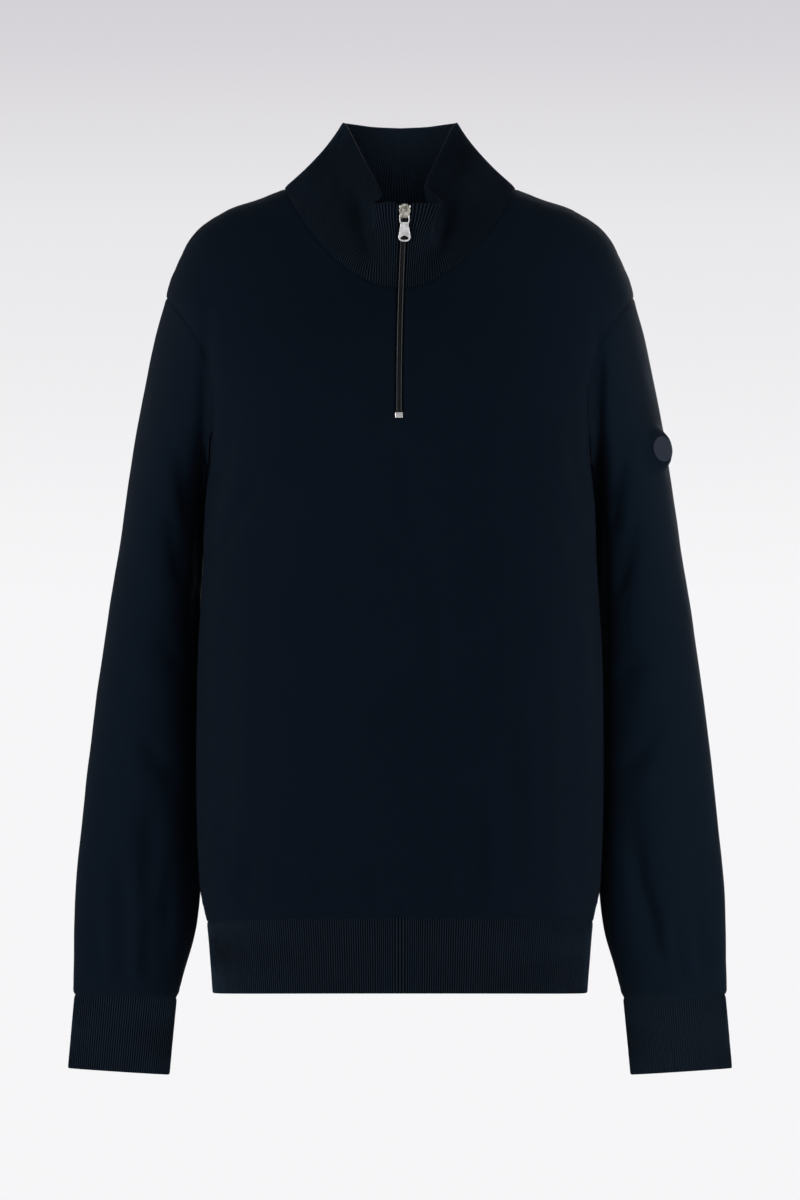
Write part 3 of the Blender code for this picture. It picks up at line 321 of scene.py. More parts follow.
def armhole_angle(level, ahead):
    """Angle at which a ring meets the armhole; ahead is -1 in front and 1 behind."""
    reach = ARMHOLE_FRONT if ahead < 0 else ARMHOLE_BACK

    def inside(angle):
        place = body_form(ahead * angle, level)
        return math.hypot((place.y - ARMHOLE_Y) / reach,
                          (place.z - ARMHOLE_Z) / ARMHOLE_TALL) < 1
    return ahead * bisection(0.0, math.radians(80), inside)


UNDERARM_LEVEL = level_where(ARMHOLE_Z - ARMHOLE_TALL)
SHOULDER_LEVEL = level_where(ARMHOLE_Z + ARMHOLE_TALL)
print(f"under-arm at level {UNDERARM_LEVEL:.3f}, shoulder at level {SHOULDER_LEVEL:.3f}")

# %% [markdown]
# ## Soft creases
#
# Filled knitwear has few sharp folds. It has long shallow hollows where it hangs: from the
# armhole down the side, over the elbow, and where a rib draws the cloth in. A crease here is a
# straight line seen from the front or the back, with a width and a depth, and the cloth sinks
# along it. The large ones are on the solids too. The small ones are on the shells alone, and
# fade out at every seam, so that neighbouring pieces still meet.

# %% Creases as lines seen from the front and the back
Fold = namedtuple("Fold", "low_x low_z high_x high_z half_width depth")


def fold_table(*rows):
    """Folds from rows in millimetres, in the order of Fold's fields."""
    return [Fold(*(value / 1000 for value in row)) for row in rows]


FRONT_FOLDS = fold_table(
    (81, -640, 80, -530, 16, 3),
    (156, -640, 147, -400, 17, 2.8),
    (-140, -645, -133, -560, 15, 3),
    (178, -250, 182, -130, 14, 3.5),
    (-178, -250, -182, -130, 14, 3.5),
)
BACK_FOLDS = fold_table(
    (90, -640, 82, -500, 17, 3.2),
    (-100, -640, -88, -470, 18, 3),
    (10, -640, 6, -560, 16, 2.4),
)
FRONT_CREASES = fold_table(
    (161, -645, 148, -340, 10, 3.6),
    (83, -645, 80, -520, 8, 3.4),
    (-142, -645, -130, -570, 8, 3.4),
    (36, -450, 30, -330, 10.4, 3),
    (118, -610, 113, -440, 9.5, 4.6),
    (-70, -640, -72, -520, 10.4, 3.7),
    (-160, -600, -156, -330, 10.4, 4.4),
    (-165, -330, -120, -240, 8.5, 4.1),
    (165, -330, 122, -245, 8.5, 4.1),
    (170, -290, 145, -190, 7.6, 3.4),
    (-170, -290, -146, -195, 7.6, 3.4),
    (6, -285, 1, -220, 8, 1.4),
    (50, -640, 45, -600, 7.6, 3.4),
    (-25, -642, -23, -605, 7.6, 2.9),
    (-105, -640, -104, -596, 7.6, 3.2),
)
BACK_CREASES = fold_table(
    (45, -645, 48, -580, 8.5, 2.5),
    (-48, -645, -42, -560, 9.5, 2.7),
    (-150, -620, -142, -400, 11.4, 3.1),
    (146, -610, 148, -420, 11.4, 3),
    (165, -330, 115, -230, 9.5, 3.5),
    (-165, -330, -115, -235, 9.5, 3.5),
    (140, -190, 105, -130, 10.4, 2.5),
    (-140, -190, -105, -130, 10.4, 2.5),
    (-40, -120, 40, -118, 8.5, 2),
)
# The wearer's left sleeve and right sleeve, each seen from the front and from the back.
LEFT_SLEEVE_FRONT = fold_table(
    (237, -700, 220, -620, 6.6, 5),
    (252, -712, 248, -650, 6.6, 4),
    (225, -690, 208, -560, 8.5, 5),
    (270, -700, 268, -610, 7.6, 3.4),
    (206, -520, 238, -470, 10.4, 4.5),
    (198, -440, 228, -415, 9.5, 4),
    (196, -360, 215, -280, 9.5, 4.5),
    (188, -310, 206, -215, 7.6, 3.4),
)
LEFT_SLEEVE_BACK = fold_table(
    (243, -705, 235, -620, 7.6, 3.3),
    (220, -690, 212, -600, 7.6, 2.9),
    (265, -700, 264, -640, 6.6, 2.6),
    (200, -500, 255, -455, 10.4, 4),
    (196, -430, 250, -405, 10.4, 3.6),
    (195, -350, 230, -330, 9.5, 2.6),
    (194, -290, 216, -210, 9.5, 2.9),
)
RIGHT_SLEEVE_FRONT = fold_table(
    (-250, -712, -251, -585, 7.6, 5),
    (-228, -705, -223, -640, 7.6, 4.5),
    (-213, -690, -205, -590, 7.6, 3.4),
    (-272, -705, -274, -640, 6.6, 3.4),
    (-226, -640, -224, -540, 9.5, 4.5),
    (-200, -530, -242, -490, 10.4, 4),
    (-198, -430, -220, -400, 9.5, 3.4),
    (-196, -350, -212, -270, 9.5, 4.5),
    (-188, -300, -204, -215, 7.6, 3.4),
)
RIGHT_SLEEVE_BACK = [
    fold._replace(low_x=-fold.low_x + 0.006, high_x=-fold.high_x + 0.004,
                  low_z=fold.low_z + 0.012, high_z=fold.high_z + 0.008)
    for fold in LEFT_SLEEVE_BACK]
# Hollows in front of the arms, from the shoulder down past the armhole's seam, and where the
# sleeves turn away towards the body.
ARM_HOLLOWS = fold_table(
    (-177.5, -340, -172.2, -50, 6, 7),
    (-185, -640, -179, -130, 12, 10),
    (178.5, -340, 177.5, -85, 5, 12),
    (180, -640, 178.5, -180, 7, 9.5),
)
# Hollows on either side of the narrow upright fold that the zip makes in the collar.
COLLAR_HOLLOWS = fold_table(
    (-27, -72, -40, 12, 8.5, 8),
    (34, -70, 46, 10, 7.2, 6.8),
)
print("creases:", sum(map(len, (FRONT_FOLDS, BACK_FOLDS, FRONT_CREASES, BACK_CREASES,
                                LEFT_SLEEVE_FRONT, LEFT_SLEEVE_BACK,
                                RIGHT_SLEEVE_FRONT, RIGHT_SLEEVE_BACK))))


def fold_depth(folds, x, z):
    """How far the folds sink the cloth at a place seen from the front. Takes arrays too."""
    total = 0.0
    for fold in folds:
        run_x = fold.high_x - fold.low_x
        run_z = fold.high_z - fold.low_z
        length = math.hypot(run_x, run_z)
        along = ((x - fold.low_x) * run_x + (z - fold.low_z) * run_z) / length ** 2
        aside = ((x - fold.low_x) * run_z - (z - fold.low_z) * run_x) / length
        ends = smoothstep(along / 0.25 + 0.6) * smoothstep((1 - along) / 0.45)
        total = total + fold.depth * ends * np.exp(-(aside / fold.half_width) ** 2)
    return total


def hollowed(points, normals):
    """Sinks the front of the cloth into the hollows by the arms, seam and all."""
    facing = smoothstep(-normals[..., 1] * 2.2)
    points = points.copy()
    points[..., 1] += fold_depth(ARM_HOLLOWS, points[..., 0], points[..., 2]) * facing
    return points


def body_point(angle, level):
    """Point of the body's outer face, with its large folds."""
    place = body_form(angle, level)
    folds = FRONT_FOLDS if math.sin(angle) < 0 else BACK_FOLDS
    depth = float(fold_depth(folds, place.x, place.z))
    return place + Vector((-math.cos(angle), -math.sin(angle), 0)) * depth


# %% [markdown]
# ## Grids, normals and walls
#
# Every piece of cloth is a grid of points: rows up the garment and columns round it. A wall is
# the grid, the same grid moved inwards, and a rim that joins them wherever a cell has no
# neighbour. Working on whole grids at once with numpy keeps a shell of 50,000 faces quick.

# %% Grid helpers
def grid_normals(grid, wrap=False, sign=1):
    """Normals of a grid: outward, if its columns run anticlockwise from above and rows up."""
    if wrap:
        across = np.roll(grid, -1, axis=1) - np.roll(grid, 1, axis=1)
    else:
        across = np.gradient(grid, axis=1)
    return unit(np.cross(across, np.gradient(grid, axis=0)) * sign)


def along_rows(grid, wrap=False):
    """Length of cloth from the first column to each column, row by row."""
    if wrap:
        grid = np.concatenate([grid, grid[:, :1]], axis=1)
    steps = np.linalg.norm(np.diff(grid, axis=1), axis=2)
    return np.concatenate([np.zeros((len(grid), 1)), np.cumsum(steps, axis=1)], axis=1)


def along_columns(grid):
    steps = np.linalg.norm(np.diff(grid, axis=0), axis=2)
    return np.concatenate([np.zeros((1, grid.shape[1])), np.cumsum(steps, axis=0)], axis=0)


def between(grid, spots, axis):
    """The grid read at fractional places along an axis, on a smooth curve through its points."""
    grid = np.moveaxis(grid, axis, 0)
    spots = np.asarray(spots, dtype=float)
    low = np.clip(spots.astype(int), 0, len(grid) - 2)
    f = (spots - low).reshape((-1,) + (1,) * (grid.ndim - 1))
    before, start = grid[np.maximum(low - 1, 0)], grid[low]
    end, after = grid[low + 1], grid[np.minimum(low + 2, len(grid) - 1)]
    read = cubic(start, end, (end - before) / 2, (after - start) / 2, f)
    return np.moveaxis(read, 0, axis)


def uneven(u, v, size):
    """A smooth unevenness from -1 to 1 whose bumps are about as large as size."""
    a = u / size
    b = v / size
    return (np.sin(2.1 * a + 1.3 * np.sin(1.7 * b + 0.4))
            + np.sin(2.6 * b + 1.1 * np.sin(1.9 * a + 0.7))
            + np.sin(1.3 * (a + b) + 2.0 * np.sin(0.8 * (a - b)))) / 3


def cut_of(grid, wrap=False):
    """Width, length and area of the flat piece of knit that a grid was cut as."""
    width = along_rows(grid, wrap)[:, -1].max()
    length = along_columns(grid)[-1].max()
    ring = np.concatenate([grid, grid[:, :1]], axis=1) if wrap else grid
    a = ring[1:, 1:] - ring[:-1, :-1]
    b = ring[1:, :-1] - ring[:-1, 1:]
    return width, length, np.linalg.norm(np.cross(a, b), axis=2).sum() / 2


# %% Meshes from grids
def in_scene(name, data):
    holder = bpy.data.objects.new(name, data)
    bpy.context.scene.collection.objects.link(holder)
    return holder


def finished(name, mesh, sharp=60):
    mesh.validate()
    mesh.shade_smooth()
    mesh.set_sharp_from_angle(angle=math.radians(sharp))
    return in_scene(name, mesh)


def mesh_of(name, points, faces, marks=None):
    """A mesh, with a map that measures the cloth in metres if marks gives each point's place."""
    mesh = bpy.data.meshes.new(name)
    mesh.from_pydata(points.reshape(-1, 3).tolist(), [], faces)
    if marks is not None:
        corners = np.empty(len(mesh.loops), dtype=np.int32)
        mesh.loops.foreach_get("vertex_index", corners)
        layer = mesh.uv_layers.new(name="cloth_metres")
        layer.uv.foreach_set("vector", marks.reshape(-1, 2)[corners].astype(np.float32).ravel())
    return mesh


def wall(name, outer, inner, marks, wrap=False, open_cells=None, sharp=60):
    """A closed wall between two grids alike. open_cells is true where the wall has a gap."""
    rows, columns = outer.shape[:2]
    r, c = np.meshgrid(np.arange(rows - 1), np.arange(columns if wrap else columns - 1),
                       indexing="ij")
    if open_cells is not None:
        r, c = r[~open_cells], c[~open_cells]
    r, c = r.ravel(), c.ravel()
    d = (c + 1) % columns
    cells = np.stack([r * columns + c, r * columns + d,
                      (r + 1) * columns + d, (r + 1) * columns + c], axis=1)
    back = rows * columns
    starts = cells.ravel()
    ends = np.roll(cells, -1, axis=1).ravel()
    edges = set(zip(starts.tolist(), ends.tolist()))
    rim = [(b, a, a + back, b + back) for a, b in edges if (b, a) not in edges]
    faces = cells.tolist() + (cells[:, ::-1] + back).tolist() + sorted(rim)
    points = np.concatenate([outer.reshape(-1, 3), inner.reshape(-1, 3)])
    used = np.unique(np.array(faces))
    renumbered = np.zeros(len(points), dtype=int)
    renumbered[used] = np.arange(len(used))
    marks = np.concatenate([marks.reshape(-1, 2)] * 2)[used]
    mesh = mesh_of(name, points[used], renumbered[np.array(faces)].tolist(), marks)
    return finished(name, outward(mesh), sharp)


def outward(mesh):
    """Turns the faces of a closed mesh to point out of its wall."""
    shape = bmesh.new()
    shape.from_mesh(mesh)
    if shape.calc_volume(signed=True) < 0:
        bmesh.ops.reverse_faces(shape, faces=shape.faces[:])
    shape.to_mesh(mesh)
    shape.free()
    return mesh


PIECES = {}


def place_piece(piece, node, body="sweater"):
    """The piece stands for a solid, which is hidden, and moves with its body."""
    PIECES[piece.name] = piece
    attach(piece, body)
    if node:
        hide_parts(node)
    return piece

# %% [markdown]
# ## The knit of the front and back
#
# The front and back are single panels of plain knit, linked at the shoulders and sides. Their
# columns follow the wales, the vertical lines of stitches. Columns crowd together near the
# seams and the slit, because that is where the cloth turns in sharply. Levels crowd together
# near the hem for the same reason.

# %% Columns and rows of the panels
SIDE_TURN = math.radians(43)
MIDDLE_SHARES = np.concatenate([[0, 0.006, 0.014, 0.026], np.linspace(0.045, 1, 44)])
SIDE_SHARES = np.concatenate([np.linspace(0, 0.93, 18), [0.955, 0.972, 0.984, 0.993, 1]])
SLIT_CELLS = 6           # columns across the slit's gap, left out above the slit's end
ARMHOLE_ROWS = 40
NEAR_SEAM = np.array([0, 0.0012, 0.0026, 0.0045, 0.007])  # rows close to a linked seam
HALF_COLUMNS = len(MIDDLE_SHARES) + len(SIDE_SHARES) - 1
SLIT_EDGES = (HALF_COLUMNS - 1, HALF_COLUMNS - 1 + SLIT_CELLS)


def angles_at(start, end, level, shares):
    """Angles that split a stretch of a ring at shares of its length."""
    angles = np.linspace(start, end, 49)
    lengths = lengths_of(as_line(body_form(angle, level) for angle in angles))
    return np.interp(np.asarray(shares) * lengths[-1], lengths, angles)


def quarter_angles(middle, side, level):
    turn = math.copysign(SIDE_TURN, middle)
    return np.concatenate([angles_at(middle, turn, level, MIDDLE_SHARES),
                           angles_at(turn, side, level, SIDE_SHARES)[1:]])


def panel_levels():
    """Levels from the hem to the neck; those beside the armhole climb its edge evenly."""
    low = HEM_LEVEL + SHELL_GAP
    steps = np.cos(np.pi * np.arange(1, ARMHOLE_ROWS) / ARMHOLE_ROWS)
    armhole = [level_where(ARMHOLE_Z - ARMHOLE_TALL * step) for step in steps]
    slit_end = level_where_front(SLIT_END_Z)
    nearest = min(range(len(armhole)), key=lambda row: abs(armhole[row] - slit_end))
    armhole[nearest] = slit_end
    top = NECK_LEVEL - SHELL_GAP
    body = [*(low + NEAR_SEAM), *np.linspace(low + 0.010, UNDERARM_LEVEL, 118)]
    yoke = [*np.linspace(SHOULDER_LEVEL, top - 0.010, 42), *(top - NEAR_SEAM[::-1])]
    return body + armhole + yoke, set(armhole)


PANEL_LEVELS, ARMHOLE_LEVELS = panel_levels()
print(f"panel rows {len(PANEL_LEVELS)}, columns {2 * HALF_COLUMNS}")


def side_angle(level, ahead):
    """Where a panel ends at its side: the armhole, or the side and shoulder seams."""
    return armhole_angle(level, ahead) if level in ARMHOLE_LEVELS else 0.0


# %% Grids of the panels
def front_rows():
    rows = []
    for level in PANEL_LEVELS:
        middle_z = body_ring(level).front_z
        side = side_angle(level, -1)
        halves = {}
        for hand in (-1, 1):
            edge_x = hand * zip_x(middle_z) + slit_half(middle_z)
            angles = quarter_angles(front_angle(edge_x, level), side, level)
            halves[hand] = [body_point(angle if hand > 0 else -math.pi - angle, level)
                            for angle in angles]
        left, right = halves[-1][::-1], halves[1]
        joint = [left[-1].lerp(right[0], i / SLIT_CELLS) for i in range(1, SLIT_CELLS)]
        rows.append(left + joint + right)
    grid = as_grid(rows)
    grid[:, [0, -1], 1] -= SEAM_GAP / 2
    return grid


def back_rows():
    rows = []
    for level in PANEL_LEVELS:
        angles = quarter_angles(math.pi / 2, side_angle(level, 1), level)
        row = [body_point(angle, level) for angle in angles[::-1]]
        rows.append(row + [body_point(math.pi - angle, level) for angle in angles[1:]])
    grid = as_grid(rows)
    grid[:, [0, -1], 1] += SEAM_GAP / 2
    return grid


def square_to_seams(normals):
    """At the side and shoulder seams a wall is cut straight across, so neighbours don't meet."""
    plain = [row for row, level in enumerate(PANEL_LEVELS) if level not in ARMHOLE_LEVELS]
    for end in (0, -1):
        normals[plain, end, 1] = 0
    return unit(normals)


front_grid = front_rows()
back_grid = back_rows()
front_normals = square_to_seams(grid_normals(front_grid))
back_normals = square_to_seams(grid_normals(back_grid))
for name, grid in (("front", front_grid), ("back", back_grid)):
    print(name, "cut: {:.3f} x {:.3f} m, {:.3f} m2".format(*cut_of(grid)))

# %% [markdown]
# ## Seams and edges that turn in
#
# A linked seam shows as a fine groove with a slightly raised line of loops beside it. The
# cloth dips as it comes to the seam. This relief is in the mesh, because it makes a shadow
# that can be seen from any side. Small puckers run across the seam where a rib is shorter
# than the cloth that it is linked to.

# %% The relief beside a seam
SEAM_DIP = 0.0007        # depth and reach of the groove
SEAM_REACH = 0.0016
SEAM_RIDGE = 0.00025     # height, place and reach of the ridge beside it
RIDGE_PLACE = 0.0042
RIDGE_REACH = 0.0022
PUCKER_PITCH = 0.0085
TUCK = 0.0005            # the double edge beside the zip stands out by this much
TUCK_WIDTH = 0.0095


def seam_relief(distance):
    """Height of the cloth beside a seam: a groove at the seam, and a low ridge next to it."""
    groove = -SEAM_DIP * np.exp(-(distance / SEAM_REACH) ** 2)
    ridge = SEAM_RIDGE * np.exp(-((distance - RIDGE_PLACE) / RIDGE_REACH) ** 2)
    return groove + ridge


def puckers(distance, along, depth=0.0005, reach=0.016):
    """Small gathers across a seam, uneven in size, that fade out into the cloth."""
    phase = 2 * np.pi * along / PUCKER_PITCH + 2.2 * uneven(along, distance, 0.031)
    fade = np.exp(-(distance / reach) ** 2) * smoothstep(distance / 0.0018)
    return depth * np.sin(phase) * fade * (0.6 + 0.4 * uneven(along, 0 * along, 0.05))


def lay(u, v, size=0.035, depth=0.00035):
    """The slight unevenness of knitted cloth that hangs free."""
    return depth * uneven(u, v, size) + 0.4 * depth * uneven(v + 3, u - 1, size * 0.36)


def seam_fade(distance, reach=0.02):
    return smoothstep(distance / reach)


# %% The panels as shells
def panel_shell(name, grid, normals, creases, holes=None, slit=False):
    rows, columns = grid.shape[:2]
    across = along_rows(grid)
    up = along_columns(grid)
    to_side = np.minimum(across, across[:, -1:] - across)
    to_neck = up[-1] - up
    nearest = np.minimum(np.minimum(to_side, up), to_neck)
    u = across - across[:, columns // 2: columns // 2 + 1]
    v = up[:, columns // 2: columns // 2 + 1] + 0 * u
    by_arm = np.exp(-((grid[..., 2] - ARMHOLE_Z + ARMHOLE_TALL) / 0.03) ** 2)
    relief = seam_relief(to_side) * (1 - by_arm) + 0.7 * seam_relief(up)
    relief += 0.6 * seam_relief(to_neck)
    relief += puckers(up, u) + puckers(to_side, v, 0.00025, 0.012)
    relief += lay(u, v) * seam_fade(nearest)
    relief -= fold_depth(creases, grid[..., 0], grid[..., 2]) * seam_fade(nearest, 0.03)
    if slit:
        relief += slit_relief(across, grid)
    outer = hollowed(grid + normals * relief[..., None], normals)
    inner = outer - normals * CLOTH
    return wall(name, outer, inner, np.stack([u, v], axis=2), open_cells=holes)


def slit_relief(across, grid):
    """Beside the zip the knit is folded under: a soft double edge, rounded at the fold."""
    left, right = (across[:, edge: edge + 1] for edge in SLIT_EDGES)
    slit = grid[:, SLIT_EDGES[0], 2] > SLIT_END_Z - SEAM_GAP / 2
    distance = np.minimum(np.abs(across - left), np.abs(across - right))
    tuck = smoothstep((TUCK_WIDTH - distance) / 0.0025) * smoothstep(distance / 0.0022)
    return (TUCK * tuck - 0.0006 * np.exp(-(distance / 0.0009) ** 2)) * slit[:, None]


def slit_holes():
    """True for each cell of the front that the zip's slit leaves open."""
    holes = np.zeros((len(PANEL_LEVELS) - 1, front_grid.shape[1] - 1), dtype=bool)
    above = [body_ring(level).front_z > SLIT_END_Z - SEAM_GAP / 2
             for level in PANEL_LEVELS[:-1]]
    holes[np.array(above), slice(*SLIT_EDGES)] = True
    return holes


front_piece = panel_shell("front_knit", front_grid, front_normals, FRONT_CREASES,
                          slit_holes(), slit=True)
back_piece = panel_shell("back_knit", back_grid, back_normals, BACK_CREASES)
place_piece(front_piece, "front")
place_piece(back_piece, "back")


# %% [markdown]
# ## Ribbed bands
#
# The hem, cuffs and collar are 1 x 1 rib: a column of raised knit stitches, then a column of
# purl stitches that sinks. Both faces look alike, so each rib is a rounded ridge on both. The
# ridges are real geometry. A smooth grid with few columns gives the form, and it is read at
# six columns to a rib, each lifted by the rib's round profile.

# %% One function for every band
RIB_COLUMNS = 6
FREE_LIP = 0.0019        # a free edge is rounded over this length
SIDE_LIP = 0.0016        # and an upright edge over this
DRAWN_IN = 0.0022        # ribs are flatter this close to a linked seam
ROW_STEP = 0.0066        # between rows of a band, away from its ends


def rib_height(phase):
    """The rounded ridge of one rib, from 0 in the furrow to 1 on top. phase is in ribs."""
    return (0.5 - 0.5 * np.cos(2 * np.pi * phase)) ** 0.75


def lip(distance, reach):
    """How a wall thins to a rounded edge, from 0 at the edge to 1 past its reach."""
    near = np.clip(distance / reach, 0, 1)
    return np.sqrt(np.clip(1 - (1 - near) ** 2, 0, 1))


def ribbed_shell(name, base, row_spots, ribs, proud, thick, soft_ends, wrap=False,
                 side_edges=False, up_sign=1):
    """A band on a grid with few columns. soft_ends says which of its two ends are free."""
    columns = base.shape[1] - (not wrap)
    count = ribs * RIB_COLUMNS
    source = np.concatenate([base[:, -2:], base, base[:, :3]], axis=1) if wrap else base
    spots = np.arange(count + (not wrap)) / count * columns + 2 * wrap
    grid = between(between(source, row_spots, 0), spots, 1)
    normals = grid_normals(grid, wrap, up_sign)
    v = along_columns(grid)
    phase = np.arange(grid.shape[1]) / RIB_COLUMNS
    u = phase * RIB_PITCH + 0 * v
    sway = 0.10 * uneven(v, u * 0.15, 0.02) + 0.05 * uneven(v * 1.4 + 1, u, 0.009)
    height = rib_height(phase + sway)
    near_seam = 0
    edge = np.ones_like(v)
    for soft, distance in zip(soft_ends, (v, v[-1] - v)):
        if soft:
            edge *= lip(distance, FREE_LIP)
        else:
            near_seam = near_seam + np.exp(-(distance / DRAWN_IN) ** 2)
    if side_edges:
        across = along_rows(grid)
        edge *= lip(np.minimum(across, across[:, -1:] - across), SIDE_LIP)
    amount = RIB_HEIGHT * (1 - 0.55 * near_seam) * (1 + 0.18 * uneven(u * 0.4, v, 0.011))
    middle = (proud - thick) / 2 + 0.25 * lay(u, v, 0.03)
    half = (proud + thick) / 2
    edge = 0.25 + 0.75 * edge
    outer = middle + (half + amount * height) * edge - 0.0005 * near_seam
    inner = middle - (half + 0.5 * amount * (1 - height)) * edge
    piece = wall(name, grid + normals * outer[..., None], grid + normals * inner[..., None],
                 np.stack([u, v], axis=2), wrap=wrap, sharp=75)
    return piece, grid


def band_spots(base, length):
    """Row spots up a band's coarse grid, closer together at both ends."""
    ends = np.array([0.0, 0.0004, 0.0010, 0.0018, 0.0030])
    inside = np.linspace(0.0045, length - 0.0045, max(4, int(length / ROW_STEP)))
    spots = np.concatenate([ends, inside, length - ends[::-1]])
    return spots / length * (len(base) - 1)


def even_band(name, base, soft_ends, wrap=False, up_sign=1):
    """A hem or cuff band: as many ribs as fit round the middle of its grid."""
    ribs = round(along_rows(base, wrap)[4, -1] / RIB_PITCH)
    spots = band_spots(base, along_columns(base)[-1].mean())
    print(f"{name}: {ribs} ribs")
    return ribbed_shell(name, base, spots, ribs, 0.0, RIB_WALL, soft_ends, wrap,
                        up_sign=up_sign)[0]

# %% The hem's band
def hem_base(start, end):
    """A coarse grid of half the hem, from one side seam to the other."""
    trim = SHELL_GAP / 2 / 0.11
    shares = np.linspace(0, 1, 121)
    return as_grid([[body_form(angle, level)
                     for angle in angles_at(start + trim, end - trim, level, shares)]
                    for level in np.linspace(0.0, HEM_LEVEL - SHELL_GAP, 9)])


for side, start, end in (("front", -math.pi, 0.0), ("back", 0.0, math.pi)):
    base = hem_base(start, end)
    piece = even_band(f"hem_{side}_rib", base, (True, False))
    place_piece(piece, f"hem_rib_{side}")

# %% [markdown]
# ## Sleeves
#
# A set-in sleeve is a tapering tube, knitted flat and linked along the under-arm. Its first
# ring is the armhole's own edge, so that sleeve and body share one seam line. Further down, the
# ring forgets the armhole's bend and follows its own table. The right sleeve is the mirror
# image, but its creases are its own, because no two sleeves hang alike.

# %% The armhole's edge, from both panels
def armhole_edge():
    """Turns, points and normals round the armhole: up its front, then down its back."""
    rows = [PANEL_LEVELS.index(level) for level in sorted(ARMHOLE_LEVELS)]
    edge = []
    for half, grid, normals, column in (
            ([rows[0] - 1, *rows], front_grid, front_normals, -1),
            ([rows[-1] + 1, *rows[::-1]], back_grid, back_normals, 0)):
        for row in half:
            height = (body_ring(PANEL_LEVELS[row]).side_z - ARMHOLE_Z) / ARMHOLE_TALL
            turn = math.acos(max(-1.0, min(1.0, -height)))
            edge.append((turn if column else 2 * math.pi - turn,
                         grid[row, column], normals[row, column]))
    return (np.array(column) for column in zip(*edge))


EDGE_TURNS, EDGE_PLACES, EDGE_NORMALS = armhole_edge()


def tube_points(table, turns, along):
    """Points of a sleeve ring: turn 0 is under the arm, pi/2 in front, pi on top."""
    ring = Tube(*smooth_row(table, along))
    low = np.array((ring.inner_x, ring.middle_y, ring.inner_z))
    high = np.array((ring.outer_x, ring.middle_y, ring.outer_z))
    points = (low + high) / 2 - np.cos(turns)[:, None] * (high - low) / 2
    points[:, 1] -= ring.half_depth * np.sin(turns)
    return points


# %% The badge's place, and how the sleeve lies flat behind it
def badge_frame():
    """Centre and facing of the badge; its plane just clears the sleeve it flattens."""
    facing = np.array((math.sin(BADGE_TURN) * math.cos(BADGE_TIP),
                       -math.cos(BADGE_TURN) * math.cos(BADGE_TIP), math.sin(BADGE_TIP)))
    turns = np.radians(np.arange(90, 180, 3))
    reach = max((tube_points(SLEEVE, turns, along / 100) @ facing).max()
                for along in range(10, 20))
    x, z = BADGE_CENTRE
    y = (reach - x * facing[0] - z * facing[2]) / facing[1]
    return np.array((x, y, z)), facing


BADGE_PLACE, BADGE_FACING = badge_frame()


def flattened(grid):
    """The sleeve is drawn up to the badge's flat back and eases off around it."""
    from_badge = grid - BADGE_PLACE
    depth = -(from_badge @ BADGE_FACING)
    aside = np.linalg.norm(from_badge + BADGE_FACING * depth[..., None], axis=2)
    near, far = BADGE_REACH
    share = 1 - smoothstep((aside - near) / (far - near))
    share = share * (1 - smoothstep((depth - 0.012) / 0.018))
    return grid + BADGE_FACING * (depth * share)[..., None]


# %% Grids of the sleeves
SLEEVE_END = SLEEVE[-1][0] - SHELL_GAP
SLEEVE_ROWS = np.concatenate([NEAR_SEAM, np.linspace(0.011, 0.16, 46),
                              np.linspace(0.164, SLEEVE_END - 0.010, 108),
                              SLEEVE_END - NEAR_SEAM[::-1]])
TOP_DOWN = -1            # rows run down the sleeve, so normals are turned round


def sleeve_grid():
    first = tube_points(SLEEVE, EDGE_TURNS, 0.0)
    under_arm = np.clip(np.cos(EDGE_TURNS), 0, 1)
    rows = []
    for along in SLEEVE_ROWS:
        fade = clamped(1 - along / ARMHOLE_EASE) ** 2
        row = tube_points(SLEEVE, EDGE_TURNS, along) + (EDGE_PLACES - first) * fade
        off_body = smoothstep(along / 0.012) * (1 - smoothstep((along - 0.012) / 0.06))
        row[:, 0] += UNDERARM_EASE * under_arm * off_body
        rows.append(row)
    grid = np.array(rows)
    grid[0] += unit(grid[1] - grid[0]) * SEAM_GAP * 1.4
    grid[0, :, 0] += SEAM_GAP * under_arm
    return grid


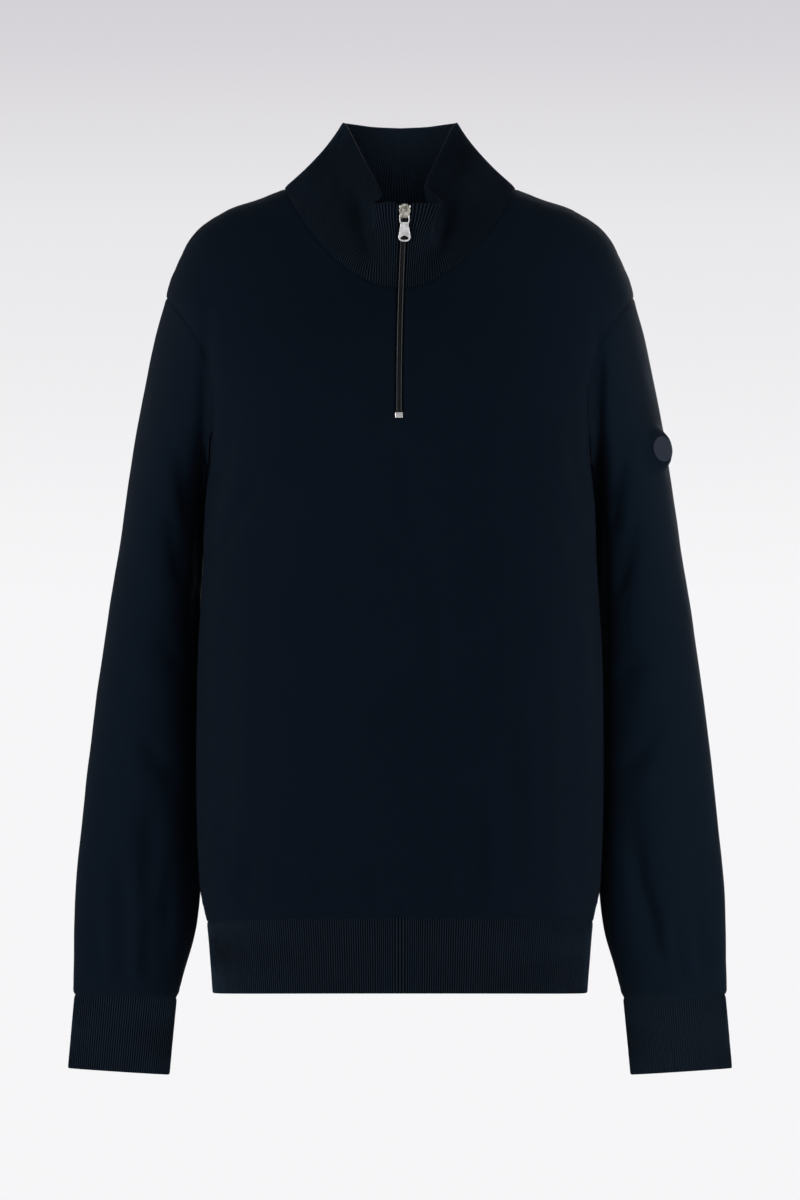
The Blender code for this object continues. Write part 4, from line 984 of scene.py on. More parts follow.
def sleeve_shell(side, hand, front_creases, back_creases):
    grid = sleeve_grid()
    if hand > 0:
        grid[1:] = flattened(grid)[1:]
    normals = grid_normals(grid, wrap=True, sign=TOP_DOWN)
    alike = (normals[0] * EDGE_NORMALS).sum(axis=1, keepdims=True)
    alike = smoothstep((alike - 0.3) / 0.5)
    normals[0] = unit(normals[0] * (1 - alike) + EDGE_NORMALS * alike)
    around = along_rows(grid, wrap=True)
    girth = around[:, -1:]
    around = around[:, :-1]
    down = along_columns(grid)
    to_cuff = down[-1] - down
    under = np.minimum(around, girth - around)
    u = around - girth / 2
    relief = seam_relief(down) + 0.7 * seam_relief(to_cuff)
    relief += 0.6 * seam_relief(under) * smoothstep((down - 0.06) / 0.05)
    relief += puckers(to_cuff, u, 0.0008, 0.022) + puckers(down, u, 0.00025, 0.012)
    relief += lay(u + hand * 0.3, down) * seam_fade(np.minimum(down, to_cuff))
    x = grid[..., 0] * hand
    facing = smoothstep(0.5 - 1.4 * normals[..., 1])
    sunk = (facing * fold_depth(front_creases, x, grid[..., 2])
            + (1 - facing) * fold_depth(back_creases, x, grid[..., 2]))
    clear = 1 - smoothstep((-normals[..., 0] - 0.60) / 0.30)  # none towards the body
    if hand > 0:
        from_badge = np.linalg.norm(grid - BADGE_PLACE, axis=2)
        on_badge = 1 - smoothstep((from_badge - 0.013) / 0.012)
        relief = relief * (1 - on_badge)
        clear = clear * (1 - on_badge)
    relief -= sunk * seam_fade(np.minimum(down, to_cuff), 0.025) * clear
    outer = grid + normals * relief[..., None]
    mirror = np.array((hand, 1, 1))
    normals = normals * mirror
    outer = hollowed(outer * mirror, normals)
    inner = outer - normals * CLOTH
    marks = np.stack([u, down], axis=2)
    piece = wall(f"sleeve_{side}_knit", outer, inner, marks, wrap=True)
    place_piece(piece, f"sleeve_{side}")
    return piece


sleeve_shell("left", 1, LEFT_SLEEVE_FRONT, LEFT_SLEEVE_BACK)
sleeve_shell("right", -1, RIGHT_SLEEVE_FRONT, RIGHT_SLEEVE_BACK)

# %% [markdown]
# ## Cuffs
#
# A cuff is a ribbed tube, linked to the sleeve's end. It is drawn in a little between its seam
# and its free edge, and it goes through the same function as the hem.

# %% The cuffs
def cuff_base():
    """A coarse grid of the left cuff, its columns at equal lengths round each ring."""
    fine = np.linspace(0, 2 * np.pi, 721)
    rows = []
    for along in np.linspace(-2 * SHELL_GAP, CUFF[-1][0], 9):
        points = tube_points(CUFF, fine, along)
        lengths = lengths_of(points)
        rows.append(read_at(np.linspace(0, lengths[-1], 49)[:-1], lengths, points))
    return np.array(rows)


for side, hand in (("left", 1), ("right", -1)):
    base = cuff_base() * np.array((hand, 1, 1))
    piece = even_band(f"cuff_{side}_rib", base, (False, True), True, -hand)
    place_piece(piece, f"cuff_{side}")

# %% [markdown]
# ## The collar
#
# The collar stands at the back of the neck and falls open in front, where the zip stops short
# of its top. Beside the slider each front edge bends forward into a soft lobe. It is one band
# of rib, so its ribs fan out from the neck seam and run up over the folded edge. The lobes are
# a table of places along the top edge, blended down the band by a power, so that the neck seam
# itself stays smooth.

# %% The collar's form
def collar_point(turn, up):
    """turn runs from 0 at the zip to 180 at the back, negative on the wearer's right."""
    hand = -1 if turn < 0 else 1
    base = body_form(math.radians(turn - 90), NECK_LEVEL)
    line = Vector(smooth_row(TOP_LINE, abs(turn)))
    fold = FOLD_LEFT if hand > 0 else FOLD_RIGHT
    last = fold[-1][0]
    if abs(turn) < last:
        bend = Vector(smooth_row(fold, abs(turn))) - line
    else:
        bend = Vector(fold[-1][1:]) - Vector(smooth_row(TOP_LINE, last))
        bend *= 1 - float(smoothstep((abs(turn) - last) / 20))
    line.x *= hand
    bend.x *= hand
    place = base + (line - base) * up + bend * up ** LOBE_POWER
    place.x -= hand * COLLAR_BOW * math.sin(math.radians(turn)) ** 2 * 4 * up * (1 - up)
    return place


def collar_turn(up, offset):
    """Turn at which a collar row lies a set way off the zip's line."""
    def short(turn):
        place = collar_point(turn, up)
        return place.x - zip_x(place.z) < offset
    return bisection(-14.0, 14.0, short)


def collar_ends(up):
    """Turns of the collar's two edges, from the wearer's left round the back to the right."""
    half = float(slit_half(collar_point(0.0, up).z))
    return collar_turn(up, half), 360 + collar_turn(up, -half)


def collar_place(turn, up):
    return collar_point(turn if turn <= 180 else turn - 360, up)


def collar_shares(count):
    """Shares of the turn, from 0 to 1, that split the collar's middle row evenly."""
    turns = np.linspace(*collar_ends(0.5), 721)
    lengths = lengths_of(as_line(collar_place(turn, 0.5) for turn in turns))
    wanted = np.linspace(0, lengths[-1], count + 1)
    return np.interp(wanted, lengths, np.linspace(0, 1, 721)), lengths[-1]


# %% The collar as a ribbed shell
def collar_form(shares):
    """A coarse grid of the collar, with the hollows beside its fold."""
    rows = []
    for up in np.linspace(0, 1, 13):
        start, end = collar_ends(up)
        rows.append([collar_place(start + (end - start) * share, up) for share in shares])
    grid = as_grid(rows)
    in_front = smoothstep((-grid[..., 1] - 0.035) / 0.03)
    from_seam = smoothstep(np.linspace(0, 1, len(grid)) / 0.4)[:, None]
    grid[..., 1] += (fold_depth(COLLAR_HOLLOWS, grid[..., 0], grid[..., 2])
                     * in_front * from_seam)
    grid[0] += unit(grid[1] - grid[0]) * SHELL_GAP * 2
    return grid


shares, collar_round = collar_shares(180)
collar_base = collar_form(shares)
collar_ribs = round(collar_round / RIB_PITCH)
collar_piece, collar_fine = ribbed_shell(
    "collar_rib", collar_base, band_spots(collar_base, along_columns(collar_base)[-1].max()),
    collar_ribs, COLLAR_PROUD, CLOTH, soft_ends=(False, True), side_edges=True)
place_piece(collar_piece, "collar")
print(f"collar: {collar_ribs} ribs, {collar_round:.3f} m round")

# %% [markdown]
# ## Seam threads
#
# Knitted pieces are joined by linking: a chain of yarn catches the edge loops of both pieces
# one by one. Along the armholes, shoulders, sides, hem, cuffs and neck this chain lies in the
# groove. It is a tube that swells once for each loop, swept along the seam's own points.

# %% A chain of loops along a line
CHAIN_PITCH = 0.0021
CHAIN_RADIUS = 0.00042   # at the fattest part of a loop
CHAIN_SWELL = 0.20       # share of the radius that comes and goes with each loop
CHAIN_LIFT = 0.00012     # and how far the loop rises there
CHAIN_SIDES = 5
RINGS_PER_LOOP = 4


def evenly(line, step):
    """Points at even steps along a line, and how far along each one is."""
    lengths = lengths_of(line)
    at = np.linspace(0, lengths[-1], max(2, round(lengths[-1] / step)) + 1)
    return read_at(at, lengths, line), at


def tube_faces(rings, sides, start=0, capped=True):
    faces = []
    for r in range(rings - 1):
        for s in range(sides):
            t = (s + 1) % sides
            low = start + r * sides
            faces.append((low + s, low + t, low + sides + t, low + sides + s))
    if capped:
        faces.append(tuple(start + s for s in reversed(range(sides))))
        faces.append(tuple(start + (rings - 1) * sides + s for s in range(sides)))
    return faces


def swept(line, radii, sides, towards):
    """Rings of points round a line. towards is the way that each ring's first point lies."""
    along = unit(np.gradient(line, axis=0))
    side = unit(np.cross(along, towards))
    turns = 2 * np.pi * np.arange(sides)[None, :, None] / sides
    rings = np.cross(side, along)[:, None] * np.cos(turns) + side[:, None] * np.sin(turns)
    return line[:, None] + rings * np.asarray(radii).reshape(-1, 1, 1)


def chain(line, normals, sink):
    """Vertices and faces of a linking chain that lies a little below the cloth."""
    path, at = evenly(line, CHAIN_PITCH / RINGS_PER_LOOP)
    facing = unit(read_at(at, lengths_of(line), normals))
    swell = np.cos(2 * np.pi * at / CHAIN_PITCH)
    path = path - facing * (sink - CHAIN_LIFT * swell[:, None])
    radii = CHAIN_RADIUS * (1 - CHAIN_SWELL + CHAIN_SWELL * swell)
    return swept(path, radii, CHAIN_SIDES, facing)


# %% All the seams
def joined(name, tubes, sides):
    points, faces, start = [], [], 0
    for rings in tubes:
        points.append(rings.reshape(-1, 3))
        faces += tube_faces(len(rings), sides, start)
        start += rings.shape[0] * sides
    points = np.concatenate(points)
    return finished(name, outward(mesh_of(name, points, faces)), 80)


KNIT_SINK = 0.0010       # how far a chain lies below the cloth's face
HEM_SINK = 0.0006
NECK_SINK = 0.0007


def side_seams():
    """Line, way out and sink of each seam on the wearer's left; the right mirrors them."""
    line = np.concatenate([EDGE_PLACES, EDGE_PLACES[:1]])
    out = np.concatenate([EDGE_NORMALS, EDGE_NORMALS[:1]])
    seams = [(line, out, KNIT_SINK)]
    levels = np.array(PANEL_LEVELS)
    for rows in (levels <= UNDERARM_LEVEL, levels >= SHOULDER_LEVEL):
        seams.append(((front_grid[rows, -1] + back_grid[rows, 0]) / 2,
                      front_normals[rows, -1] + back_normals[rows, 0], KNIT_SINK))
    line = as_line(body_form(0.0, level)
                   for level in np.linspace(0.0015, HEM_LEVEL - 0.001, 40))
    seams.append((line, np.tile((1.0, 0.0, 0.0), (len(line), 1)), HEM_SINK))
    line = tube_points(SLEEVE, np.linspace(0, 2 * np.pi, 181), SLEEVE_END)
    seams.append((line, unit(line - line.mean(axis=0)), KNIT_SINK))
    return seams


seam_tubes = []
for hand in (1, -1):
    flip = np.array((hand, 1, 1))
    for number, (line, out, sink) in enumerate(side_seams()):
        line = line * flip
        if number == 0:
            line = hollowed(line, out * flip)
        seam_tubes.append(chain(line, out * flip, sink))
for line, out, sink in ((front_grid[0], front_normals[0], KNIT_SINK),
                        (back_grid[0], back_normals[0], KNIT_SINK),
                        (collar_fine[0], grid_normals(collar_fine)[0], NECK_SINK)):
    seam_tubes.append(chain(line, out, sink))
threads = joined("seam_threads", seam_tubes, CHAIN_SIDES)
place_piece(threads, None)
print(f"seam threads: {len(seam_tubes)} seams, {len(threads.data.polygons)} faces")

# %% [markdown]
# ## The badge
#
# A small round patch is sewn to the left sleeve. It is woven cloth with a stitched rim: the
# satin stitches wrap the edge side by side, each a rounded bar across the rim. Its field is
# left plain, with one fine ring of dots inside the rim.

# %% The patch and its rim
RIM_STITCHES = 96
STITCH_POINTS = 4        # columns of points to each rim stitch
RIM_WIDTH = 0.0015
RIM_SWELL = 0.00012      # how far a stitch stands out from the rim
RIM_STEPS = 8
FIELD_RINGS = [          # radius and height of the rings inside the rim
    (0.0022, 0.00120), (0.0050, 0.00123), (0.0075, 0.00122), (0.0092, 0.00118),
    (0.0099, 0.00112)]


BADGE_ACROSS = unit(np.cross((0, 0, 1), BADGE_FACING))
BADGE_UP = np.cross(BADGE_FACING, BADGE_ACROSS)


def on_badge(radius, turn, height):
    return (BADGE_PLACE + BADGE_FACING * height
            + (BADGE_ACROSS * math.cos(turn) + BADGE_UP * math.sin(turn)) * radius)


def badge_piece():
    """Rings from the middle out and over the rim, with a bar for each rim stitch."""
    sides = RIM_STITCHES * STITCH_POINTS
    profile = list(FIELD_RINGS)
    for step in range(RIM_STEPS + 1):
        turn = math.pi * step / RIM_STEPS
        profile.append((BADGE_RADIUS - RIM_WIDTH / 2 - RIM_WIDTH / 2 * math.cos(turn),
                        0.00105 + 0.00055 * math.sin(turn)))
    profile.append((BADGE_RADIUS - 0.0001, 0.00045))
    points = [BADGE_PLACE + BADGE_FACING * 0.00118]
    for number, (radius, height) in enumerate(profile):
        for s in range(sides):
            rim = RIM_SWELL if 0 < number - len(FIELD_RINGS) <= RIM_STEPS else 0.0
            swell = rim * (math.cos(2 * math.pi * s / STITCH_POINTS) - 0.3)
            points.append(on_badge(radius, 2 * math.pi * s / sides, height + swell))
    faces = [(0, 1 + (s + 1) % sides, 1 + s) for s in range(sides)]
    faces += [tuple(i + 1 for i in face) for face in
              tube_faces(len(profile), sides, 0, capped=False)]
    last = 1 + (len(profile) - 1) * sides
    faces.append(tuple(last + s for s in range(sides)))
    points = np.array(points)
    marks = (points - BADGE_PLACE) @ np.stack([BADGE_ACROSS, BADGE_UP], axis=1)
    return finished("sleeve_patch", outward(mesh_of("sleeve_patch", points, faces, marks)), 75)


patch = badge_piece()
place_piece(patch, "sleeve_badge")
print("patch faces:", len(patch.data.polygons))

# %% [markdown]
# ## The zip
#
# This is a coil zip. Each side has a woven tape with a nylon monofilament sewn along its edge,
# wound in a flattened spiral. Where the spirals bulge past the middle line, they hook into each
# other. Both spirals are swept here along the zip's own line, half a turn apart. One row of
# stitches on each side holds its spiral to its tape.

# %% The zip's line
def body_station(level, offset):
    return body_form(front_angle(zip_x(body_ring(level).front_z) + offset, level), level)


def collar_station(up, offset):
    return collar_point(collar_turn(up, offset), up)


def zip_stations():
    """Rows of the zip from below its end to the collar's top, each a function of x offset."""
    levels = np.linspace(level_where_front(SLIT_END_Z - 0.006), NECK_LEVEL - 0.004, 60)
    stations = [functools.partial(body_station, level) for level in levels]
    return stations + [functools.partial(collar_station, up) for up in np.linspace(0, 1, 24)]


ZIP_STATIONS = zip_stations()


def zip_line():
    """Points up the middle of the zip, with small kinks eased and both ends kept."""
    line = as_line(station(0.0) for station in ZIP_STATIONS)
    line[:, 0] = [zip_x(z) for z in line[:, 2]]
    for _ in range(2):
        line[1:-1] = (line[:-2] + 2 * line[1:-1] + line[2:]) / 4
    return line


ZIP_LINE = zip_line()


def zip_thread(heights, aside, depth):
    """A line at set ways across from and out of the zip's line, and the ways out."""
    z = ZIP_LINE[:, 2]
    across = np.array((1.0, 0.0, 0.0))
    out = unit(np.cross(across, read_at(heights, z, np.gradient(ZIP_LINE, axis=0))))
    place = read_at(heights, z, ZIP_LINE)
    return place + np.outer(aside, across) + out * depth[:, None], out


# %% Tapes
def strip_grid(offsets, low_z, high_z):
    """A grid that follows the zip between two heights at set offsets from its line."""
    grid = as_grid([[station(offset) for offset in offsets] for station in ZIP_STATIONS])
    heights = grid.mean(axis=1)[:, 2]
    wanted = np.linspace(low_z, high_z, 130)
    return between(grid, np.interp(wanted, heights, np.arange(len(heights))), 0)


TAPE_LOW = SLIT_END_Z - 0.005
TAPE_HIGH = ZIP_TOP_Z - 0.0012
for side, hand in (("left", 1), ("right", -1)):
    offsets = np.sort(hand * np.linspace(TAPE_INNER, TAPE_OUTER, 15))
    grid = strip_grid(offsets, TAPE_LOW, TAPE_HIGH)
    normals = grid_normals(grid)
    u = along_rows(grid)
    v = along_columns(grid)
    face = TAPE_FACE + 0.00006 * np.sin(2 * np.pi * u / 0.0024)
    tape = wall(f"tape_{side}", grid + normals * face[..., None],
                grid + normals * TAPE_BACK, np.stack([u, v], axis=2))
    place_piece(tape, f"zip_tape_{side}")
    print(tape.name, len(tape.data.polygons), "faces")

# %% The two spirals
COIL_PITCH = 0.00152
COIL_WIRE = 0.00036
HOOK_REACH = 0.00045     # how far a turn hooks past the zip's middle line
TURN_POINTS = 12
WIRE_SIDES = 8
COIL_LOW = ZIP_END_Z + STOP_SIZE[2] / 2 + SEAM_GAP
COIL_HIGH = SLIDER_Z + SLIDER_LENGTH / 2 - 0.0034


def spiral(hand):
    """One side's monofilament: each turn reaches over the middle line and back."""
    count = int((COIL_HIGH - COIL_LOW) / COIL_PITCH * TURN_POINTS)
    turn = 2 * np.pi * np.arange(count + 1) / TURN_POINTS + (math.pi if hand < 0 else 0.0)
    swing = np.sign(np.cos(turn)) * np.abs(np.cos(turn)) ** 0.75
    outer_reach = COIL_HALF - COIL_WIRE
    middle = (outer_reach - HOOK_REACH) / 2
    aside = hand * (middle - (outer_reach + HOOK_REACH) / 2 * swing)
    half = (COIL_FACE - COIL_BACK) / 2 - COIL_WIRE
    line, out = zip_thread(np.linspace(COIL_LOW + 0.0004, COIL_HIGH - 0.0004, count + 1),
                           aside, (COIL_FACE + COIL_BACK) / 2 + half * np.sin(turn))
    head = np.clip(swing, 0, 1) ** 3
    return swept(line, COIL_WIRE * (1 + 0.18 * head), WIRE_SIDES, out)


coil = joined("zip_spirals", [spiral(1), spiral(-1)], WIRE_SIDES)
place_piece(coil, "zip_coil")
print("zip spirals:", len(coil.data.polygons), "faces")

# %% Rows of stitches over the spirals
STITCH_ROW = 0.0019      # from the zip's middle line
STITCH_THREAD = 0.00028
STITCH_DEPTH = 0.00044   # middle of the thread's path below the coil's face
STITCH_DIP = 0.00064     # how far it rises and dips from there
STITCH_SIDES = 6


def stitch_row(offset):
    """A sewing thread that shows over each turn of the coil and dips out of sight between."""
    count = int((COIL_HIGH - COIL_LOW) / COIL_PITCH * 6)
    heights = np.linspace(COIL_LOW + 0.0006, COIL_HIGH - 0.0006, count)
    dip = np.cos(2 * np.pi * (heights - COIL_LOW) / COIL_PITCH)
    line, out = zip_thread(heights, np.full(count, offset),
                           COIL_FACE - STITCH_DEPTH + STITCH_DIP * dip)
    return swept(line, STITCH_THREAD * (1 + 0.25 * dip), STITCH_SIDES, out)


stitches = joined("zip_stitches", [stitch_row(hand * STITCH_ROW) for hand in (1, -1)],
                  STITCH_SIDES)
place_piece(stitches, None)

# %% [markdown]
# ## Metal parts
#
# The slider, its pull tab and the stops are die-cast or pressed metal with a polished, plated
# skin. Their solids already have the right shape, so each is copied and given what casting and
# tumbling leave behind: small rounded edges, which catch the light.

# %% Rounded copies of the metal solids
FLAT_WITHIN = math.radians(2)     # faces nearer to flat than this are joined
SHARP_BEYOND = math.radians(32)   # edges sharper than this are rounded


def rounded_metal(name, node, width, body="sweater"):
    """A copy of a metal solid, its sharp edges rounded over a width."""
    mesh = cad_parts[node].data.copy()
    mesh.materials.clear()
    shape = bmesh.new()
    shape.from_mesh(mesh)
    bmesh.ops.remove_doubles(shape, verts=shape.verts[:], dist=0.00001)
    bmesh.ops.dissolve_limit(shape, angle_limit=FLAT_WITHIN, verts=shape.verts[:],
                             edges=shape.edges[:])
    shape.to_mesh(mesh)
    shape.free()
    piece = finished(name, mesh, 35)
    bevel = piece.modifiers.new("tumbled edges", "BEVEL")
    bevel.width = width
    bevel.segments = 3
    bevel.limit_method = "ANGLE"
    bevel.angle_limit = SHARP_BEYOND
    bevel.harden_normals = True
    return place_piece(piece, node, body)


metal_parts = [rounded_metal("slider", "zip_slider", 0.00016),
               rounded_metal("pull_tab", "zip_pull_tab", 0.00024, "pull_tab"),
               rounded_metal("bottom_stop", "zip_bottom_stop", 0.0005),
               rounded_metal("top_stop_left", "zip_top_stop_left", 0.0003),
               rounded_metal("top_stop_right", "zip_top_stop_right", 0.0003)]
print("metal parts:", [part.name for part in metal_parts])

# %% [markdown]
# ## A little language for finishes
#
# A finish is a graph of nodes. Wiring it by hand hides the maths, so a small class wraps a
# socket: adding, multiplying or dividing a Flow adds the Math node that does it. Anything else
# comes from Finish.node, which sets a node's settings first and then its sockets. Numbers that
# are the same all over a surface are set straight on the shader.

# %% Flow: a socket that can be used in sums
def operator(operation, swapped=False):
    """A method of Flow that adds a Math node. swapped puts the other value first."""
    def method(self, *others):
        values = (*others, self) if swapped else (self, *others)
        return self.finish.node("ShaderNodeMath", {"operation": operation},
                                dict(enumerate(values)))
    return method


class Flow:
    """A value in a finish. Python's operators on it add Math nodes."""

    def __init__(self, finish, socket):
        self.finish = finish
        self.socket = socket

    __add__ = __radd__ = operator("ADD")
    __mul__ = __rmul__ = operator("MULTIPLY")
    __sub__ = operator("SUBTRACT")
    __rsub__ = operator("SUBTRACT", swapped=True)
    __truediv__ = operator("DIVIDE")
    __rtruediv__ = operator("DIVIDE", swapped=True)
    __pow__ = operator("POWER")
    fraction = operator("FRACT")
    size = operator("ABSOLUTE")
    sine = operator("SINE")
    turn_from = operator("ARCTAN2")

    def wave(self):
        """A sine that runs from 0 to 1 and back as the value grows by one."""
        return (self * (2 * math.pi)).sine() * 0.5 + 0.5

    def limited(self):
        """The value, kept between 0 and 1."""
        return self.finish.node("ShaderNodeMath", {"operation": "ADD", "use_clamp": True},
                                {0: self, 1: 0.0})


# %% Finish: one material, or the world around it
class Finish:
    """A material or a world under construction."""

    def __init__(self, name, kind=bpy.data.materials, shader="Principled BSDF"):
        self.made = kind.new(name)
        self.made.use_nodes = True
        self.tree = self.made.node_tree
        self.shader = self.tree.nodes[shader]

    def put(self, socket, value):
        """Links a Flow to a socket, or sets a plain value on it."""
        if isinstance(value, Flow):
            self.tree.links.new(value.socket, socket)
        else:
            socket.default_value = value

    def node(self, kind, settings=None, inputs=None, output=0):
        made = self.tree.nodes.new(kind)
        for name, value in (settings or {}).items():
            if name == "stops":
                self.set_stops(made.color_ramp.elements, value)
            else:
                setattr(made, name, value)
        for name, value in (inputs or {}).items():
            self.put(made.inputs[name], value)
        return Flow(self, made.outputs[output])

    @staticmethod
    def set_stops(elements, stops):
        while len(elements) < len(stops):
            elements.new(1.0)
        for element, (place, colour) in zip(elements, stops):
            element.position = place
            element.color = (*colour, 1.0)

    def mixed(self, share, first, second):
        """Two colours mixed by a share; a plain colour is three numbers."""
        first, second = (c if isinstance(c, Flow) else (*c, 1.0) for c in (first, second))
        return self.node("ShaderNodeMix", {"data_type": "RGBA", "blend_type": "MIX"},
                         {0: share, 6: first, 7: second}, 2)

    def first_two(self, place):
        """The first two numbers of a vector."""
        split = self.node("ShaderNodeSeparateXYZ", inputs={0: place})
        return split, Flow(self, split.socket.node.outputs[1])

    def cloth_place(self):
        """A point's place on the cloth in metres, and its two numbers: across and along."""
        place = self.node("ShaderNodeUVMap", {"uv_map": "cloth_metres"})
        return place, *self.first_two(place)

    def solid_place(self):
        return self.node("ShaderNodeTexCoord", output=3)

    def noise(self, scale, detail=2.0, place=None):
        """Noise with about scale bumps to a metre. Three scales stretch it along the axes."""
        place = place or self.solid_place()
        if isinstance(scale, tuple):
            place = self.node("ShaderNodeMapping", {"vector_type": "POINT"},
                              {"Vector": place, "Scale": scale})
            scale = 1.0
        return self.node("ShaderNodeTexNoise", inputs={
            "Vector": place, "Scale": scale, "Detail": detail, "Roughness": 0.55})

    def bump(self, height, distance, strength=1.0, under=None):
        inputs = {"Height": height, "Distance": distance, "Strength": strength}
        if under is not None:
            inputs["Normal"] = under
        return self.node("ShaderNodeBump", inputs=inputs)

    def surface(self, **values):
        """Sets or links the shader's own sockets; underscores stand for spaces."""
        for name, value in values.items():
            self.put(self.shader.inputs[name.replace("_", " ")], value)
        return self.made


def paint(pieces, material):
    for piece in pieces:
        piece.data.materials.clear()
        piece.data.materials.append(material)


def named(*words):
    """Pieces with every one of the words in their names."""
    return [piece for name, piece in PIECES.items() if all(word in name for word in words)]

# %% [markdown]
# ## Plain knit
#
# Stocking stitch shows columns of V shapes, one V for each loop: about 21 wales and 28 courses
# to an inch in a gauge as fine as this. The height is written straight from that description:
# a wale is a wave across the cloth, and inside it each leg of the V climbs as it nears the
# wale's edge. The yarn is a dark navy melange, so fibres a little lighter and a little darker
# streak along it, and a soft sheen stands for the fuzz that catches light at a low angle.

# %% The knit's height and colour
WALE = 0.00120
COURSE = 0.00092
NAVY = (0.0022, 0.0050, 0.0094)
NAVY_DEEP = (0.0011, 0.0026, 0.0052)
NAVY_PALE = (0.0050, 0.0096, 0.0165)
# Painted highlight for the crests of the ribs, and painted shade for their furrows.
CREST_PAINTED_HIGHLIGHT = (0.0096, 0.0164, 0.0258)
FURROW_PAINTED_SHADE = (0.0002, 0.0005, 0.0012)
SHEEN_TINT = (0.45, 0.66, 0.95, 1.0)
WOOL_GLOSS = 0.03        # a knit's own gloss is almost nothing


def wool(sheen, roughness):
    """The shader's settings for a woollen yarn, with a sheen for its fuzz."""
    return {"Sheen_Weight": sheen, "Sheen_Roughness": roughness, "Sheen_Tint": SHEEN_TINT,
            "Specular_IOR_Level": WOOL_GLOSS}


def stitch_height(u, v, wale, course):
    """Stocking stitch: 1 on the legs of each V, 0 between the wales."""
    side = ((u / wale).fraction() - 0.5).size() * 2
    leg = ((v / course + side * 0.62).fraction() - 0.5).size() * 2
    return (1 - side ** 4) * (1 - leg * leg * 0.75)


def yarn_colour(finish, place, height):
    """Navy with painted shade between the stitches, and paler and darker fibres in it."""
    fibre = finish.noise((520, 2300, 1), place=place)
    patch = finish.noise(9.0, 3.0)
    # Painted shade: the navy darkens where the stitch height is low, between the stitches.
    shade = finish.mixed((height * 0.75 + 0.1).limited(), NAVY_DEEP, NAVY)
    pale = ((fibre - 0.56) * 3.2).limited() * 0.75
    mixed = finish.mixed(pale, shade, NAVY_PALE)
    return finish.mixed(((patch - 0.42) * 1.4).limited() * 0.35, mixed, NAVY_DEEP)


def knit_finish():
    finish = Finish("fine navy knit")
    place, u, v = finish.cloth_place()
    height = stitch_height(u, v, WALE, COURSE)
    fuzz = finish.noise(900.0)
    under = finish.bump(finish.noise(60.0), 0.0010, 0.35)
    stitches = finish.bump(height + fuzz * 0.5, 0.00022, 0.55, under)
    return finish.surface(Base_Color=yarn_colour(finish, place, height),
                          Roughness=0.86 + fuzz * 0.12, Normal=stitches,
                          **wool(0.010, 0.45))


paint(named("knit"), knit_finish())

# %% [markdown]
# ## Rib
#
# The ribs themselves are geometry. The finish adds what lies on them: the Vs of the raised
# column, a painted highlight on the crests, a painted shade down in the furrow where light
# hardly reaches, and the same yarn.

# %% The rib's finish
def rib_finish(name, crest_highlight_share, steepness=1.8, shade=0.62):
    """The second argument is how much painted highlight the crests show, and shade how wide the
    painted shade of the furrows looks.
    """
    finish = Finish(name)
    place, u, v = finish.cloth_place()
    ridge = (u / RIB_PITCH - 0.25).wave()
    height = stitch_height(u + RIB_PITCH / 2, v, RIB_PITCH, COURSE * 1.15)
    fuzz = finish.noise(900.0)
    yarn = yarn_colour(finish, place, height)
    # Painted light: the crests take a paler tone as a painted highlight, and the furrows a
    # near-black painted shade.
    colour = finish.mixed((ridge * steepness - shade).limited(), FURROW_PAINTED_SHADE,
                          finish.mixed(crest_highlight_share, yarn, CREST_PAINTED_HIGHLIGHT))
    stitches = finish.bump(height * ridge + fuzz * 0.4, 0.00025, 0.6)
    return finish.surface(Base_Color=colour, Roughness=0.84 + fuzz * 0.13, Normal=stitches,
                          **wool(0.018, 0.42))


# Each band's copy of the rib finish gets its own amount of painted highlight on the crests, more
# on the hem than on the collar; the cuffs' copy also has a softer, narrower painted furrow shade.
paint(named("hem", "rib"), rib_finish("navy rib of the hem", 0.60))
paint(named("cuff", "rib"), rib_finish("navy rib of the cuffs", 0.52, 1.3, 0.26))
paint(named("collar", "rib"), rib_finish("navy rib of the collar", 0.50))
print("ribbed bands:", [piece.name for piece in named("rib")])

# %% [markdown]
# ## Threads, tape, nylon, metal and patch
#
# The threads are the body's own yarn. The tape is polyester in a herringbone weave, whose
# zigzag comes from a diagonal wave that turns back at each rib of the weave. The spirals are
# nylon, smoother and greyer than the yarn. The metal is plated, with fine scratches, and a
# cloud of painted highlight and painted shade on it. The patch is twill with a satin-stitched
# rim.

# %% Thread and tape
def thread_finish():
    finish = Finish("navy yarn")
    twist = finish.noise(1400.0)
    colour = finish.mixed((twist * 1.6 - 0.4).limited(), NAVY_DEEP, NAVY_PALE)
    return finish.surface(Base_Color=colour, Roughness=0.8 + twist * 0.15,
                          Normal=finish.bump(twist, 0.0001, 0.5), **wool(0.016, 0.5))


def tape_finish():
    finish = Finish("black-navy zip tape")
    place, u, v = finish.cloth_place()
    zigzag = ((u / 0.0024).fraction() - 0.5).size() * 2
    weave = (v / 0.00062 + zigzag * 1.9).wave()
    fibre = finish.noise((1800, 700, 1), place=place)
    colour = finish.mixed((weave * 0.7 + fibre * 0.5 - 0.2).limited(),
                          (0.0016, 0.0022, 0.0038), (0.0060, 0.0078, 0.0120))
    return finish.surface(Base_Color=colour, Roughness=0.62 + fibre * 0.25,
                          Normal=finish.bump(weave, 0.00016, 0.6), Specular_IOR_Level=0.03)


paint([threads], thread_finish())
paint(named("tape"), tape_finish())


# %% Nylon and its stitching
def nylon_finish():
    finish = Finish("grey-navy nylon")
    cloud = finish.noise(420.0)
    colour = finish.mixed(cloud, (0.0014, 0.0019, 0.0026), (0.0036, 0.0046, 0.0058))
    return finish.surface(Base_Color=colour, Roughness=0.46 + cloud * 0.22,
                          Normal=finish.bump(cloud, 0.00004, 0.3), Specular_IOR_Level=0.16)


